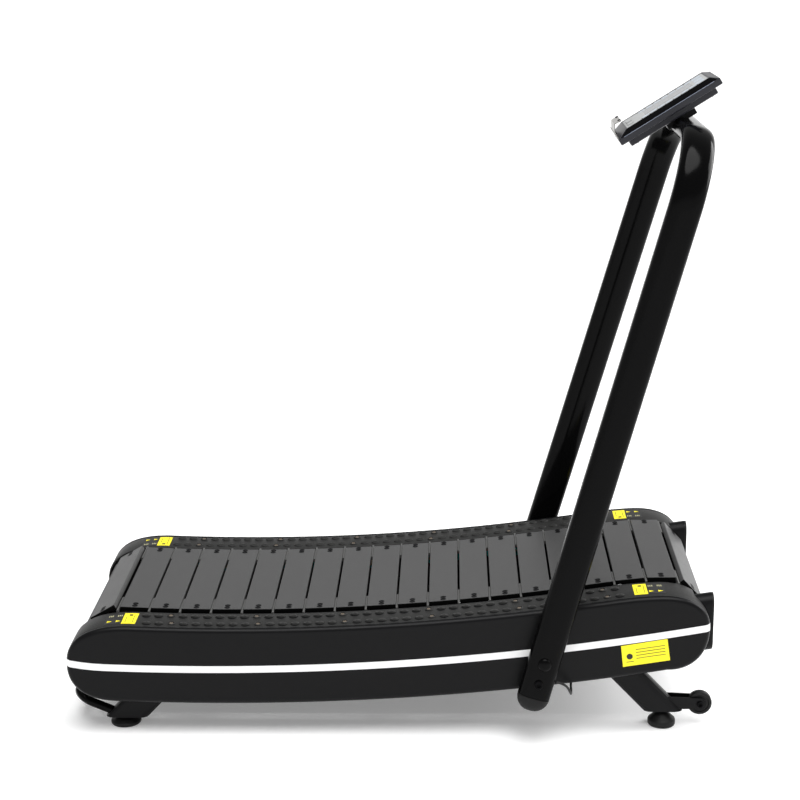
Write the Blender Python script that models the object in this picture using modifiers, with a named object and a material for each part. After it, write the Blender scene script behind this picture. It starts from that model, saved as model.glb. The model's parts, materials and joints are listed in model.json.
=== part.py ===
"""Curved manual treadmill: a slatted running belt on a concave deck, with a U-shaped handlebar and a console.

Metres. +X runs from the rear end to the console end, +Y is the runner's left, +Z is up.
The origin is on the floor, under the middle of the machine.
"""

import math

import bmesh
import bpy
from mathutils import Matrix, Vector

GAP = 0.0003  # left between pieces that touch

# ---- running surface, seen from the side ----
DECK_RADIUS = 5.9  # concave stretch
DECK_LOW_X = -0.398
DECK_LOW_Z = 0.2822
CONCAVE_END_X = 0.45
CREST_X = 0.672  # where the running surface is highest
CREST_RADIUS = 0.758
WRAP_RADIUS = 0.098  # of the slats' outer face round each pulley
REAR_PULLEY_X = -0.674
RETURN_RADIUS = 8.0  # slack curve of the belt's lower run
SLAT_COUNT = 42
SLAT_THICK = 0.012
SLAT_GAP = 0.0055
SLAT_HALF_LENGTH = 0.2165
SLAT_GAP_X = -0.1395  # where one of the gaps between the slats lies
BELT_THICK = 0.003
RISE_ANGLE = math.asin((CONCAVE_END_X - DECK_LOW_X) / DECK_RADIUS)

# ---- widths, as distances from the middle plane ----
FRAME_INNER_Y = 0.240
FRAME_OUTER_Y = 0.290
FRAME_MID_Y = (FRAME_INNER_Y + FRAME_OUTER_Y) / 2
RAIL_INNER_Y = 0.234
RAIL_OUTER_Y = 0.3222
COVER_OUTER_Y = 0.340

# ---- side outline of the covers and the foot rails ----
REAR_X = -0.793
NOSE_X = 0.7715
REAR_MID_Z = 0.184
NOSE_MID_Z = 0.282
RAIL_RISE = -0.0047  # the foot rails' top, against the slats' top
SKIRT_LOW_X = -0.42
SKIRT_LOW_Z = 0.081
SKIRT_RADIUS = 6.57
REAR_TOP_X = -0.640  # where the top edge bends down round the rear end, and so on
REAR_LOW_X = -0.660
NOSE_TOP_X = 0.655
NOSE_LOW_X = 0.670
REAR_POWER = 2.4  # superellipse powers of the two rounded ends
NOSE_POWER = 2.25
RAIL_THICK = 0.004
COVER_WALL = 0.003
CORNER_POINTS = 10  # on each rounded quarter of the outline

# ---- side frame tubes ----
FRAME_DEPTH = 0.1181  # centre line below the running surface's line
FRAME_HEIGHT = 0.146
FRAME_REAR_X = -0.720
FRAME_FRONT_X = 0.781
FRAME_WALL = 0.004
OVAL_POWER = 2.6  # superellipse power of the oval tubes

# ---- handlebar ----
LEG_LEAN = math.radians(15.83)
LEG_TOE_IN = 0.04296  # each leg leans inwards by this much a metre
LEG_REF = Vector((0.485, 0.3562, 0.6145))  # a point on the left leg's centre line
LEG_FOOT_Z = 0.1255
LEG_BEND_Z = 1.291
BEND_RADIUS = 0.165
TUBE_WIDE = 0.0785
TUBE_THICK = 0.048
TUBE_CAP = 0.038

# ---- console ----
CONSOLE_CENTRE = Vector((0.6677, 0.0, 1.4889))
CONSOLE_TILT = math.radians(31.9)

UPRIGHT = Vector((0, 0, 1))
ACROSS_LEG = Vector((math.cos(LEG_LEAN), 0, -math.sin(LEG_LEAN)))  # the wide way of the handlebar's tube


def clear_scene():
    for obj in list(bpy.data.objects):
        bpy.data.objects.remove(obj, do_unlink=True)


def new_collection(name, hidden=False):
    made = bpy.data.collections.new(name)
    bpy.context.scene.collection.children.link(made)
    made.hide_render = hidden
    return made


def material(name, colour, roughness, metallic):
    made = bpy.data.materials.new(name)
    made.use_nodes = True
    shader = made.node_tree.nodes["Principled BSDF"]
    shader.inputs["Base Color"].default_value = (*colour, 1.0)
    shader.inputs["Roughness"].default_value = roughness
    shader.inputs["Metallic"].default_value = metallic
    return made


clear_scene()
PART = new_collection("curved_manual_treadmill")
CUTTERS = new_collection("cutters", hidden=True)
MATERIALS = {
    "frame_paint": material("frame_paint", (0.012, 0.012, 0.013), 0.32, 0.0),
    "gloss_tube": material("gloss_tube", (0.006, 0.006, 0.007), 0.12, 0.0),
    "cover_plastic": material("cover_plastic", (0.016, 0.016, 0.017), 0.45, 0.0),
    "rail_plastic": material("rail_plastic", (0.030, 0.030, 0.032), 0.7, 0.0),
    "cap_plastic": material("cap_plastic", (0.012, 0.012, 0.012), 0.5, 0.0),
    "slat_rubber": material("slat_rubber", (0.045, 0.045, 0.047), 0.6, 0.0),
    "roller_urethane": material("roller_urethane", (0.02, 0.42, 0.36), 0.4, 0.0),
    "steel": material("steel", (0.55, 0.55, 0.56), 0.3, 1.0),
    "foot_rubber": material("foot_rubber", (0.02, 0.02, 0.02), 0.7, 0.0),
    "console_plastic": material("console_plastic", (0.05, 0.055, 0.065), 0.4, 0.0),
    "console_face": material("console_face", (0.62, 0.64, 0.64), 0.35, 0.0),
    "cable": material("cable", (0.01, 0.01, 0.01), 0.5, 0.0),
}


# ---------------------------------------------------------------- tools


def add_object(name, data, slot, cutter=False):
    obj = bpy.data.objects.new(name, data)
    (CUTTERS if cutter else PART).objects.link(obj)
    if cutter:
        obj.hide_render = True
        obj.display_type = "WIRE"
    else:
        data.materials.clear()
        data.materials.append(MATERIALS[slot])
    return obj


def mesh_object(name, bm, slot, cutter=False, smooth_angle=35):
    bmesh.ops.recalc_face_normals(bm, faces=bm.faces)
    if bm.calc_volume(signed=True) < 0:
        bmesh.ops.reverse_faces(bm, faces=bm.faces)
    mesh = bpy.data.meshes.new(name)
    bm.to_mesh(mesh)
    bm.free()
    mesh.shade_smooth()
    mesh.set_sharp_from_angle(angle=math.radians(smooth_angle))
    return add_object(name, mesh, slot, cutter)


def frozen(obj, name, slot, cutter=False):
    """A curve, or an object with modifiers, as a plain mesh object of the given name."""
    bpy.context.view_layer.update()
    graph = bpy.context.evaluated_depsgraph_get()
    mesh = bpy.data.meshes.new_from_object(obj.evaluated_get(graph))
    bm = bmesh.new()
    bm.from_mesh(mesh)
    bmesh.ops.remove_doubles(bm, verts=bm.verts, dist=1e-5)
    bm.transform(obj.matrix_world)
    bpy.data.meshes.remove(mesh)
    bpy.data.objects.remove(obj, do_unlink=True)
    return mesh_object(name, bm, slot, cutter)


def boolean(obj, tool, operation="DIFFERENCE"):
    modifier = obj.modifiers.new(operation.lower(), "BOOLEAN")
    modifier.operation = operation
    modifier.solver = "EXACT"
    modifier.object = tool
    return obj


def turn_to(direction, upright="Y"):
    return Vector(direction).to_track_quat("Z", upright).to_matrix().to_4x4()


def box(name, size, matrix, slot=None, bevel=0.0, cutter=False):
    bm = bmesh.new()
    bmesh.ops.create_cube(bm, size=1.0)
    bmesh.ops.scale(bm, vec=size, verts=bm.verts)
    if bevel:
        bmesh.ops.bevel(bm, geom=bm.edges[:], offset=bevel, segments=2, affect="EDGES", profile=0.5)
    bm.transform(matrix)
    return mesh_object(name, bm, slot, cutter)


def cylinder(name, radius, start, end, slot=None, sides=24, cutter=False):
    start, end = Vector(start), Vector(end)
    bm = bmesh.new()
    bmesh.ops.create_cone(
        bm,
        cap_ends=True,
        segments=sides,
        radius1=radius,
        radius2=radius,
        depth=(end - start).length,
    )
    bm.transform(Matrix.Translation((start + end) / 2) @ turn_to(end - start))
    return mesh_object(name, bm, slot, cutter)


def turned(name, profile, start, direction, slot, sides=28):
    """A solid turned about an axis: the profile's (radius, distance along) points run down its outer side."""
    bm = bmesh.new()
    points = [bm.verts.new((radius, 0.0, along)) for radius, along in profile]
    for first, second in zip(points, points[1:] + points[:1]):
        bm.edges.new((first, second))
    mesh = bpy.data.meshes.new(name)
    bm.to_mesh(mesh)
    bm.free()
    obj = add_object(name, mesh, slot)
    obj.matrix_world = Matrix.Translation(start) @ turn_to(direction)
    screw = obj.modifiers.new("turn", "SCREW")
    screw.axis = "Z"
    screw.steps = screw.render_steps = sides
    screw.use_merge_vertices = True
    screw.merge_threshold = 0.00005
    return frozen(obj, name, slot)


def prism(name, outline, near_y, far_y, slot=None, holes=(), cutter=False):
    """A flat outline of (x, z) points, stretched across the machine from near_y to far_y."""
    curve = bpy.data.curves.new(name, "CURVE")
    curve.dimensions = "2D"
    curve.fill_mode = "BOTH"
    curve.extrude = abs(far_y - near_y) / 2
    for loop in (outline, *holes):
        spline = curve.splines.new("POLY")
        spline.points.add(len(loop) - 1)
        for point, (x, z) in zip(spline.points, loop):
            point.co = (x, z, 0.0, 1.0)
        spline.use_cyclic_u = True
    obj = bpy.data.objects.new(name + "_outline", curve)
    CUTTERS.objects.link(obj)
    obj.matrix_world = Matrix.Translation((0, (near_y + far_y) / 2, 0)) @ Matrix.Rotation(math.pi / 2, 4, "X")
    return frozen(obj, name, slot, cutter)


def flat_oval(width, thickness, count):
    """A flat oval's outline: two half circles of count points each, joined by straights."""
    radius, reach = thickness / 2, (width - thickness) / 2
    quarter_turn = math.pi / 2
    right = arc_points((reach, 0), radius, -quarter_turn, quarter_turn, count)
    return right + arc_points((-reach, 0), radius, quarter_turn, 3 * quarter_turn, count)


def superellipse(half_width, half_height, power, count):
    points = []
    for i in range(count):
        a = 2 * math.pi * i / count
        c, s = math.cos(a), math.sin(a)
        points.append(
            (
                half_width * math.copysign(abs(c) ** (2 / power), c),
                half_height * math.copysign(abs(s) ** (2 / power), s),
            )
        )
    return points


def tube(name, route, section, wide, slot=None, cutter=False):
    """A tube of the given section outline swept along the route. The section's width lies along `wide`."""
    shape = bpy.data.curves.new(name + "_section", "CURVE")
    shape.dimensions = "2D"
    spline = shape.splines.new("POLY")
    spline.points.add(len(section) - 1)
    for point, (x, y) in zip(spline.points, section):
        point.co = (x, y, 0.0, 1.0)
    spline.use_cyclic_u = True
    section_object = bpy.data.objects.new(name + "_section", shape)
    CUTTERS.objects.link(section_object)
    ahead = (Vector(route[1]) - Vector(route[0])).normalized()
    untilted = ahead.to_track_quat("-Z", "Y") @ Vector((1, 0, 0))
    tilt = math.atan2(untilted.cross(wide).dot(ahead), untilted.dot(wide))
    curve = bpy.data.curves.new(name, "CURVE")
    curve.dimensions = "3D"
    curve.bevel_mode = "OBJECT"
    curve.bevel_object = section_object
    curve.use_fill_caps = True
    spline = curve.splines.new("POLY")
    spline.points.add(len(route) - 1)
    for point, place in zip(spline.points, route):
        point.co = (*place, 1.0)
        point.tilt = tilt
    obj = bpy.data.objects.new(name + "_route", curve)
    CUTTERS.objects.link(obj)
    made = frozen(obj, name, slot, cutter)
    bpy.data.objects.remove(section_object, do_unlink=True)
    return made


def round_tube(name, route, radius, slot, resolution=3):
    curve = bpy.data.curves.new(name, "CURVE")
    curve.dimensions = "3D"
    curve.bevel_depth = radius
    curve.bevel_resolution = resolution
    curve.use_fill_caps = True
    spline = curve.splines.new("POLY")
    spline.points.add(len(route) - 1)
    for point, place in zip(spline.points, route):
        point.co = (*place, 1.0)
    return add_object(name, curve, slot)


def round_long_edges(obj, direction, radius, segments=4):
    """Bevels the edges that run along the direction, which turns a box-section bar into an oval tube."""
    direction = Vector(direction).normalized()
    bm = bmesh.new()
    bm.from_mesh(obj.data)
    bmesh.ops.dissolve_limit(bm, angle_limit=0.01, verts=bm.verts, edges=bm.edges)
    picked = []
    for edge in bm.edges:
        along = (edge.verts[1].co - edge.verts[0].co).normalized()
        if abs(along.dot(direction)) > 0.93:
            picked.append(edge)
    bmesh.ops.bevel(bm, geom=picked, offset=radius, segments=segments, affect="EDGES", profile=0.5)
    bm.to_mesh(obj.data)
    bm.free()
    obj.data.shade_smooth()
    obj.data.set_sharp_from_angle(angle=math.radians(35))
    return obj


def arc_points(centre, radius, start, end, count):
    angles = [start + (end - start) * i / (count - 1) for i in range(count)]
    return [(centre[0] + radius * math.cos(a), centre[1] + radius * math.sin(a)) for a in angles]


# ---------------------------------------------------------------- the deck's curve


def concave_z(x):
    return DECK_LOW_Z + DECK_RADIUS - math.sqrt(DECK_RADIUS**2 - (x - DECK_LOW_X) ** 2)


CONCAVE_END_Z = concave_z(CONCAVE_END_X)
CREST_START_X = CREST_X - CREST_RADIUS * math.sin(RISE_ANGLE)
CREST_START_Z = CONCAVE_END_Z + (CREST_START_X - CONCAVE_END_X) * math.tan(RISE_ANGLE)
CREST_Z = CREST_START_Z + CREST_RADIUS * (1 - math.cos(RISE_ANGLE))
FRONT_PULLEY = (CREST_X, CREST_Z - WRAP_RADIUS)
DROP_ANGLE = math.asin((DECK_LOW_X - REAR_PULLEY_X) / (DECK_RADIUS + WRAP_RADIUS))
REAR_PULLEY = (
    REAR_PULLEY_X,
    DECK_LOW_Z + DECK_RADIUS * (1 - math.cos(DROP_ANGLE)) - WRAP_RADIUS * math.cos(DROP_ANGLE),
)


def frame_line_z(x):
    """The deck's curve, carried on straight past the concave stretch: the side frames follow it."""
    if x <= CONCAVE_END_X:
        return concave_z(x)
    return CONCAVE_END_Z + (x - CONCAVE_END_X) * math.tan(RISE_ANGLE)


def deck_z(x):
    """Height of the running surface."""
    if x <= CREST_START_X:
        return frame_line_z(x)
    return CREST_Z - CREST_RADIUS + math.sqrt(CREST_RADIUS**2 - (x - CREST_X) ** 2)


def belt_loop(inset):
    """The running belt's closed path, this far inside the slats' outer face, as a list of
    (centre, radius, start angle, end angle, outward sign) arcs and one (start, end) straight."""
    front, rear = Vector(FRONT_PULLEY), Vector(REAR_PULLEY)
    half_span = (front - rear).length / 2
    along = (front - rear).normalized()
    up = Vector((-along.y, along.x))
    sag_centre = (front + rear) / 2 + up * math.sqrt((RETURN_RADIUS - WRAP_RADIUS) ** 2 - half_span**2)
    leave = front - sag_centre
    meet = rear - sag_centre
    leave_angle = math.atan2(leave.y, leave.x)
    meet_angle = math.atan2(meet.y, meet.x)
    right_angle = math.pi / 2
    shift = Vector((math.sin(RISE_ANGLE), -math.cos(RISE_ANGLE))) * inset
    start = Vector((CONCAVE_END_X, CONCAVE_END_Z)) + shift
    end = Vector((CREST_START_X, CREST_START_Z)) + shift
    return [
        (
            (DECK_LOW_X, DECK_LOW_Z + DECK_RADIUS),
            DECK_RADIUS + inset,
            -right_angle - DROP_ANGLE,
            -right_angle + RISE_ANGLE,
            -1,
        ),
        (start, end),
        ((CREST_X, CREST_Z - CREST_RADIUS), CREST_RADIUS - inset, right_angle + RISE_ANGLE, right_angle, 1),
        (FRONT_PULLEY, WRAP_RADIUS - inset, right_angle, leave_angle, 1),
        (tuple(sag_centre), RETURN_RADIUS - inset, leave_angle, meet_angle, 1),
        (REAR_PULLEY, WRAP_RADIUS - inset, meet_angle, -3 * right_angle - DROP_ANGLE, 1),
    ]


def piece_length(piece):
    if len(piece) == 2:
        return (piece[1] - piece[0]).length
    return abs(piece[3] - piece[2]) * piece[1]


def at_length(loop, length):
    """(point, outward normal) on the loop at this distance along it."""
    length %= sum(piece_length(piece) for piece in loop)
    for piece in loop:
        here = piece_length(piece)
        if length <= here:
            break
        length -= here
    share = min(length / here, 1.0)
    if len(piece) == 2:
        return piece[0].lerp(piece[1], share), Vector((-math.sin(RISE_ANGLE), math.cos(RISE_ANGLE)))
    centre, radius, start, end, sign = piece
    a = start + (end - start) * share
    spoke = Vector((math.cos(a), math.sin(a)))
    return Vector(centre) + spoke * radius, spoke * sign


# ---------------------------------------------------------------- the covers' outline


def quarter(centre, end_x, end_z, power, start, end):
    """Points on a superellipse that reaches end_x and end_z, between two angles in quarter turns from +X."""
    half_width, half_height = abs(end_x - centre[0]), abs(end_z - centre[1])
    points = []
    for i in range(CORNER_POINTS):
        a = (start + (end - start) * i / (CORNER_POINTS - 1)) * math.pi / 2
        c, s = math.cos(a), math.sin(a)
        x = centre[0] + half_width * math.copysign(abs(c) ** (2 / power), c)
        z = centre[1] + half_height * math.copysign(abs(s) ** (2 / power), s)
        points.append((x, z))
    return points


def skirt_z(x):
    return SKIRT_LOW_Z + SKIRT_RADIUS - math.sqrt(SKIRT_RADIUS**2 - (x - SKIRT_LOW_X) ** 2)


def side_outline(inset=0.0, lift=RAIL_RISE):
    """The covers' outline, from the lowest point at the rear, round the rear end, along the top, round the
    nose and back along the bottom edge. Every point is moved in by the inset."""
    rear_low = (REAR_LOW_X, REAR_MID_Z)
    rear_top = (REAR_TOP_X, REAR_MID_Z)
    nose_top = (NOSE_TOP_X, NOSE_MID_Z)
    nose_low = (NOSE_LOW_X, NOSE_MID_Z)
    points = quarter(rear_low, REAR_X + inset, skirt_z(REAR_LOW_X) + inset, REAR_POWER, 3, 2)
    points += quarter(rear_top, REAR_X + inset, deck_z(REAR_TOP_X) + lift - inset, REAR_POWER, 2, 1)[1:]
    steps = 8
    for i in range(1, steps):
        x = REAR_TOP_X + (NOSE_TOP_X - REAR_TOP_X) * i / steps
        points.append((x, deck_z(x) + lift - inset))
    points += quarter(nose_top, NOSE_X - inset, deck_z(NOSE_TOP_X) + lift - inset, NOSE_POWER, 1, 0)
    points += quarter(nose_low, NOSE_X - inset, skirt_z(NOSE_LOW_X) + inset, NOSE_POWER, 0, -1)[1:]
    for i in range(1, steps):
        x = NOSE_LOW_X + (REAR_LOW_X - NOSE_LOW_X) * i / steps
        points.append((x, skirt_z(x) + inset))
    return points


def leg_centre(z, side):
    """Centre line of a handlebar leg at this height."""
    rise = z - LEG_REF.z
    return Vector(
        (LEG_REF.x + math.tan(LEG_LEAN) * rise, side * (LEG_REF.y - LEG_TOE_IN * rise), z)
    )


# ---------------------------------------------------------------- base frame


def frame_section(grow=0.0):
    return flat_oval(FRAME_HEIGHT + 2 * grow, FRAME_OUTER_Y - FRAME_INNER_Y + 2 * grow, 5)


def side_frames():
    steps = 9
    past = 0.03
    last = FRAME_FRONT_X + past
    xs = [FRAME_REAR_X + (last - FRAME_REAR_X) * i / steps for i in range(steps + 1)]
    for label, side in (("left", 1), ("right", -1)):
        route = [Vector((x, side * FRAME_MID_Y, frame_line_z(x) - FRAME_DEPTH)) for x in xs]
        through = [route[0] + (route[0] - route[1]).normalized() * past, *route[1:-1]]
        through.append(route[-1] + (route[-1] - route[-2]).normalized() * past)
        hollow = tube(f"frame_{label}_bore", through, frame_section(-FRAME_WALL), UPRIGHT, cutter=True)
        frame = tube(f"side_frame_{label}", route, frame_section(), UPRIGHT, "frame_paint")
        end_z = frame_line_z(FRAME_FRONT_X) - FRAME_DEPTH
        end_middle = Vector((FRAME_FRONT_X + past, side * FRAME_MID_Y, end_z))
        end_cut = box(f"frame_end_{label}", (2 * past, 0.1, 0.3), Matrix.Translation(end_middle), cutter=True)
        boolean(frame, hollow)
        boolean(frame, end_cut)
        for number, (x, z) in enumerate(leg_bolt_places()):
            inner = side * (FRAME_OUTER_Y - 0.010)
            outer = side * (abs(leg_centre(z, side).y) - TUBE_THICK / 2 - 0.0014)
            boss = cylinder(
                f"boss_{label}_{number}", 0.016, (x, inner, z), (x, outer, z), sides=14, cutter=True
            )
            boolean(frame, boss, "UNION")
        for number, (x, z) in enumerate(leg_bolt_places()):
            bolt_hole(frame, f"{label}_{number}", x, z, side)


def leg_bolt_places():
    """(x, z) of the two bolts through each handlebar leg."""
    return [(leg_centre(z, 1).x, z) for z in (0.2125, 0.1625)]


def bolt_hole(obj, label, x, z, side):
    deep = side * (FRAME_OUTER_Y + 0.004)
    far = side * (abs(leg_centre(z, side).y) + 0.06)
    radius = LEG_BOLT_RADIUS + GAP
    hole = cylinder(f"hole_{obj.name}_{label}", radius, (x, deep, z), (x, far, z), sides=12, cutter=True)
    boolean(obj, hole)


def frame_caps():
    """Moulded plugs that close the front ends of the side frame tubes, which are cut upright."""
    thick = 0.005
    for label, side in (("left", 1), ("right", -1)):
        places = [
            Vector((x, side * FRAME_MID_Y, frame_line_z(x) - FRAME_DEPTH))
            for x in (FRAME_FRONT_X - 0.02, FRAME_FRONT_X + 0.03)
        ]
        cap = tube(f"frame_cap_front_{label}", places, frame_section(-0.0004), UPRIGHT, "cap_plastic")
        slab = box(
            f"cap_slab_{label}",
            (thick, 0.1, 0.3),
            Matrix.Translation((FRAME_FRONT_X + GAP + thick / 2, side * FRAME_MID_Y, places[0].z)),
            cutter=True,
        )
        boolean(cap, slab, "INTERSECT")
        ahead = (places[1] - places[0]).normalized()
        plug = [places[0], places[0] + ahead * 0.0225]
        insert = tube(f"cap_insert_{label}", plug, frame_section(-FRAME_WALL - 0.001), UPRIGHT, cutter=True)
        boolean(cap, insert, "UNION")


def cross_members():
    for name, x in (("rear", -0.48), ("middle", -0.02), ("front", 0.45)):
        z = frame_line_z(x) - FRAME_DEPTH
        reach = FRAME_INNER_Y - GAP
        bar = box(
            f"cross_member_{name}",
            (0.060, 2 * reach, 0.050),
            Matrix.Translation((x, 0, z)) @ Matrix.Rotation(-math.atan(slope_at(x)), 4, "Y"),
            "frame_paint",
        )
        round_long_edges(bar, (0, 1, 0), 0.008, 3)


def slope_at(x):
    step = 0.001
    return (frame_line_z(x + step) - frame_line_z(x - step)) / (2 * step)


LEG_THICK = 0.046
LEG_EDGE = 0.016  # rounding of the legs' long edges
FRONT_LEG_X = (0.6215, 0.719)  # the legs' lower ends
REAR_LEG_X = (-0.714, -0.607)
FRONT_LEG_LEAN = -0.947  # x for each metre of height
REAR_LEG_LEAN = 0.954
STUD_RADIUS = 0.005
LEG_BOLT_RADIUS = 0.0055
FRONT_FOOT_X, REAR_FOOT_X = 0.669, -0.666
FRONT_LEG_Z, REAR_LEG_Z = 0.0405, 0.0205
WHEEL_CENTRE = (0.7615, 0.0575)
WHEEL_RADIUS = 0.030
WHEEL_HALF_WIDTH = 0.009
FORK_ARM = 0.004
FORK_END = 0.0155


def frame_bottom_z(x):
    return frame_line_z(x) - FRAME_DEPTH - FRAME_HEIGHT / 2 / math.cos(math.atan(slope_at(x)))


def leg_outline(low_left, low_right, low_z, lean):
    """A slanting leg, cut level at the floor end and to the frame tube's underside at the top."""
    corners = [(low_right, low_z), (low_left, low_z)]
    for x0 in (low_left, low_right):
        z = low_z
        for _ in range(20):
            z = frame_bottom_z(x0 + lean * (z - low_z)) - 0.0008
        corners.append((x0 + lean * (z - low_z), z))
    return corners


def legs():
    for label, side in (("left", 1), ("right", -1)):
        y0, y1 = side * FRAME_MID_Y - LEG_THICK / 2, side * FRAME_MID_Y + LEG_THICK / 2
        front_outline = leg_outline(*FRONT_LEG_X, FRONT_LEG_Z, FRONT_LEG_LEAN)
        front = prism(f"leg_front_{label}", front_outline, y0, y1, "frame_paint")
        round_long_edges(front, (FRONT_LEG_LEAN, 0, 1), LEG_EDGE, 3)
        rear_outline = leg_outline(*REAR_LEG_X, REAR_LEG_Z, REAR_LEG_LEAN)
        rear = prism(f"leg_rear_{label}", rear_outline, y0, y1, "frame_paint")
        round_long_edges(rear, (REAR_LEG_LEAN, 0, 1), LEG_EDGE, 3)
        for leg, x, low in ((front, FRONT_FOOT_X, FRONT_LEG_Z), (rear, REAR_FOOT_X, REAR_LEG_Z)):
            y = side * FRAME_MID_Y
            hole = cylinder(
                f"stud_hole_{leg.name}", STUD_RADIUS + 0.0006, (x, y, low - 0.01), (x, y, low + 0.046),
                sides=12, cutter=True,
            )
            boolean(leg, hole)
        add_fork(front, label, side)


def add_fork(leg, label, side):
    """Two arms welded to the front leg's sloping face, with the wheel between them."""
    x, z = WHEEL_CENTRE
    for part, arm_side in (("outer", 1), ("inner", -1)):
        near = side * FRAME_MID_Y + arm_side * (WHEEL_HALF_WIDTH + 0.0015)
        far = near + arm_side * FORK_ARM
        outline = arc_points((x, z), FORK_END, math.radians(-85), math.radians(90), 7)
        outline += [(0.690, 0.0765), (0.660, 0.0765), (0.685, 0.0450), (0.735, 0.0450)]
        arm = prism(f"fork_{part}_{label}", outline, near, far, cutter=True)
        boolean(leg, arm, "UNION")
    bore = cylinder(
        f"axle_hole_{label}",
        0.004 + GAP,
        (x, side * FRAME_MID_Y - 0.03, z),
        (x, side * FRAME_MID_Y + 0.03, z),
        sides=12,
        cutter=True,
    )
    boolean(leg, bore)


def levelling_feet():
    """Rubber pads, each moulded on a steel stud that screws up into its leg."""
    for label, side in (("left", 1), ("right", -1)):
        for end, x, radius, profile in (
            ("front", FRONT_FOOT_X, 0.034, ((0.034, 0.0145), (0.014, 0.033), (STUD_RADIUS, 0.0345))),
            ("rear", REAR_FOOT_X, 0.0375, ((0.0375, 0.008), (0.024, 0.015), (STUD_RADIUS, 0.0165))),
        ):
            top = (FRONT_LEG_Z if end == "front" else REAR_LEG_Z) + 0.030
            points = [(0.0, top), (STUD_RADIUS - 0.001, top), (STUD_RADIUS, top - 0.001)]
            points += list(reversed(profile))
            points += [(radius, 0.002), (radius - 0.002, 0.0), (0.0, 0.0)]
            place = (x, side * FRAME_MID_Y, 0)
            turned(f"levelling_foot_{end}_{label}", points, place, (0, 0, 1), "foot_rubber", 18)


def transport_wheels():
    x, z = WHEEL_CENTRE
    for label, side in (("left", 1), ("right", -1)):
        y = side * FRAME_MID_Y
        half = WHEEL_HALF_WIDTH
        bore = 0.004 + GAP
        rim = WHEEL_RADIUS
        dish = half - 0.003
        profile = [
            (bore, half), (0.010, half), (0.013, dish), (rim - 0.007, dish), (rim - 0.003, half),
            (rim, dish), (rim, -dish), (rim - 0.003, -half), (bore, -half),
        ]
        turned(f"transport_wheel_{label}", profile, (x, y, z), (0, 1, 0), "foot_rubber", 22)
        reach = half + 0.0015 + FORK_ARM + GAP
        shank = 0.004
        head, nut, high = 0.0085, 0.0078, 0.006
        bolt = [
            (0.0, reach + high), (head - 0.002, reach + high), (head, reach + high - 0.002), (head, reach),
            (shank, reach), (shank, -reach), (nut, -reach), (nut, -reach - high), (0.0, -reach - high),
        ]
        turned(f"wheel_bolt_{label}", bolt, (x, y, z), (0, side, 0), "steel", 12)


def lift_handle():
    """Round tube bar at the rear, for tipping the machine on to its wheels."""
    reach, bend = FRAME_MID_Y, 0.045
    start, corner = Vector((-0.6800, 0, 0.0235)), Vector((-0.7880, 0, 0.0697))
    along = (corner - start).normalized()
    route = [start + Vector((0, reach, 0))]
    route += [
        corner + Vector((0, reach - bend, 0)) - along * bend
        + along * bend * math.sin(a) + Vector((0, bend * math.cos(a), 0))
        for a in (math.pi / 2 * i / 6 for i in range(7))
    ]
    route += [Vector((p.x, -p.y, p.z)) for p in reversed(route)]
    bent = round_tube("lift_handle_route", route, 0.011, "gloss_tube", 2)
    handle = frozen(bent, "lift_handle", "gloss_tube")
    lean = Matrix.Rotation(math.atan(REAR_LEG_LEAN), 4, "Y")
    face = Vector((REAR_LEG_X[0], 0, REAR_LEG_Z))
    depth = 0.06
    block = box(
        "leg_face",
        (depth, 2 * reach + 0.1, 0.2),
        Matrix.Translation(face) @ lean @ Matrix.Translation((depth / 2 - GAP, 0, 0)),
        cutter=True,
    )
    boolean(handle, block)


# ---------------------------------------------------------------- rollers, shafts and the belt

ROLLER_RADIUS = 0.021
ROLLER_Y = (0.172, 0.206)
ROLLER_BORE = 0.005
ROLLER_XS = (-0.52, -0.18, 0.15, 0.47)
RAIL_PLATE_Y = (0.2115, 0.2165)
ROLLER_DEPTH = SLAT_THICK + BELT_THICK + ROLLER_RADIUS + 0.0012  # of their centres, under the slats' face


def roller_centre(x):
    slope = math.atan(slope_at(x))
    return x + ROLLER_DEPTH * math.sin(slope), frame_line_z(x) - ROLLER_DEPTH * math.cos(slope)


def roller_rails():
    """Curved side plates, stood off the frame tubes, with one stud for each guide roller."""
    steps = 8
    first, last = -0.60, 0.60
    xs = [first + (last - first) * i / steps for i in range(steps + 1)]
    upper = [(x, frame_line_z(x) - ROLLER_DEPTH + 0.014) for x in xs]
    lower = [(x, frame_line_z(x) - ROLLER_DEPTH - 0.055) for x in reversed(xs)]
    for label, side in (("left", 1), ("right", -1)):
        near, far = (side * y for y in RAIL_PLATE_Y)
        plate = prism(f"roller_rail_{label}", upper + lower, near, far, "frame_paint")
        for number, x in enumerate(ROLLER_XS):
            cx, cz = roller_centre(x)
            stud = cylinder(
                f"stud_{label}_{number}", ROLLER_BORE - GAP, (cx, side * (ROLLER_Y[0] - 0.003), cz),
                (cx, side * (RAIL_PLATE_Y[0] + 0.001), cz), sides=10, cutter=True,
            )
            boolean(plate, stud, "UNION")
        for number, x in enumerate((-0.50, -0.16, 0.17, 0.44)):
            z = frame_line_z(x) - ROLLER_DEPTH - 0.043
            post = cylinder(
                f"standoff_{label}_{number}", 0.009, (x, side * (RAIL_PLATE_Y[1] - 0.001), z),
                (x, side * (FRAME_INNER_Y - GAP), z), sides=10, cutter=True,
            )
            boolean(plate, post, "UNION")


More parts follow.
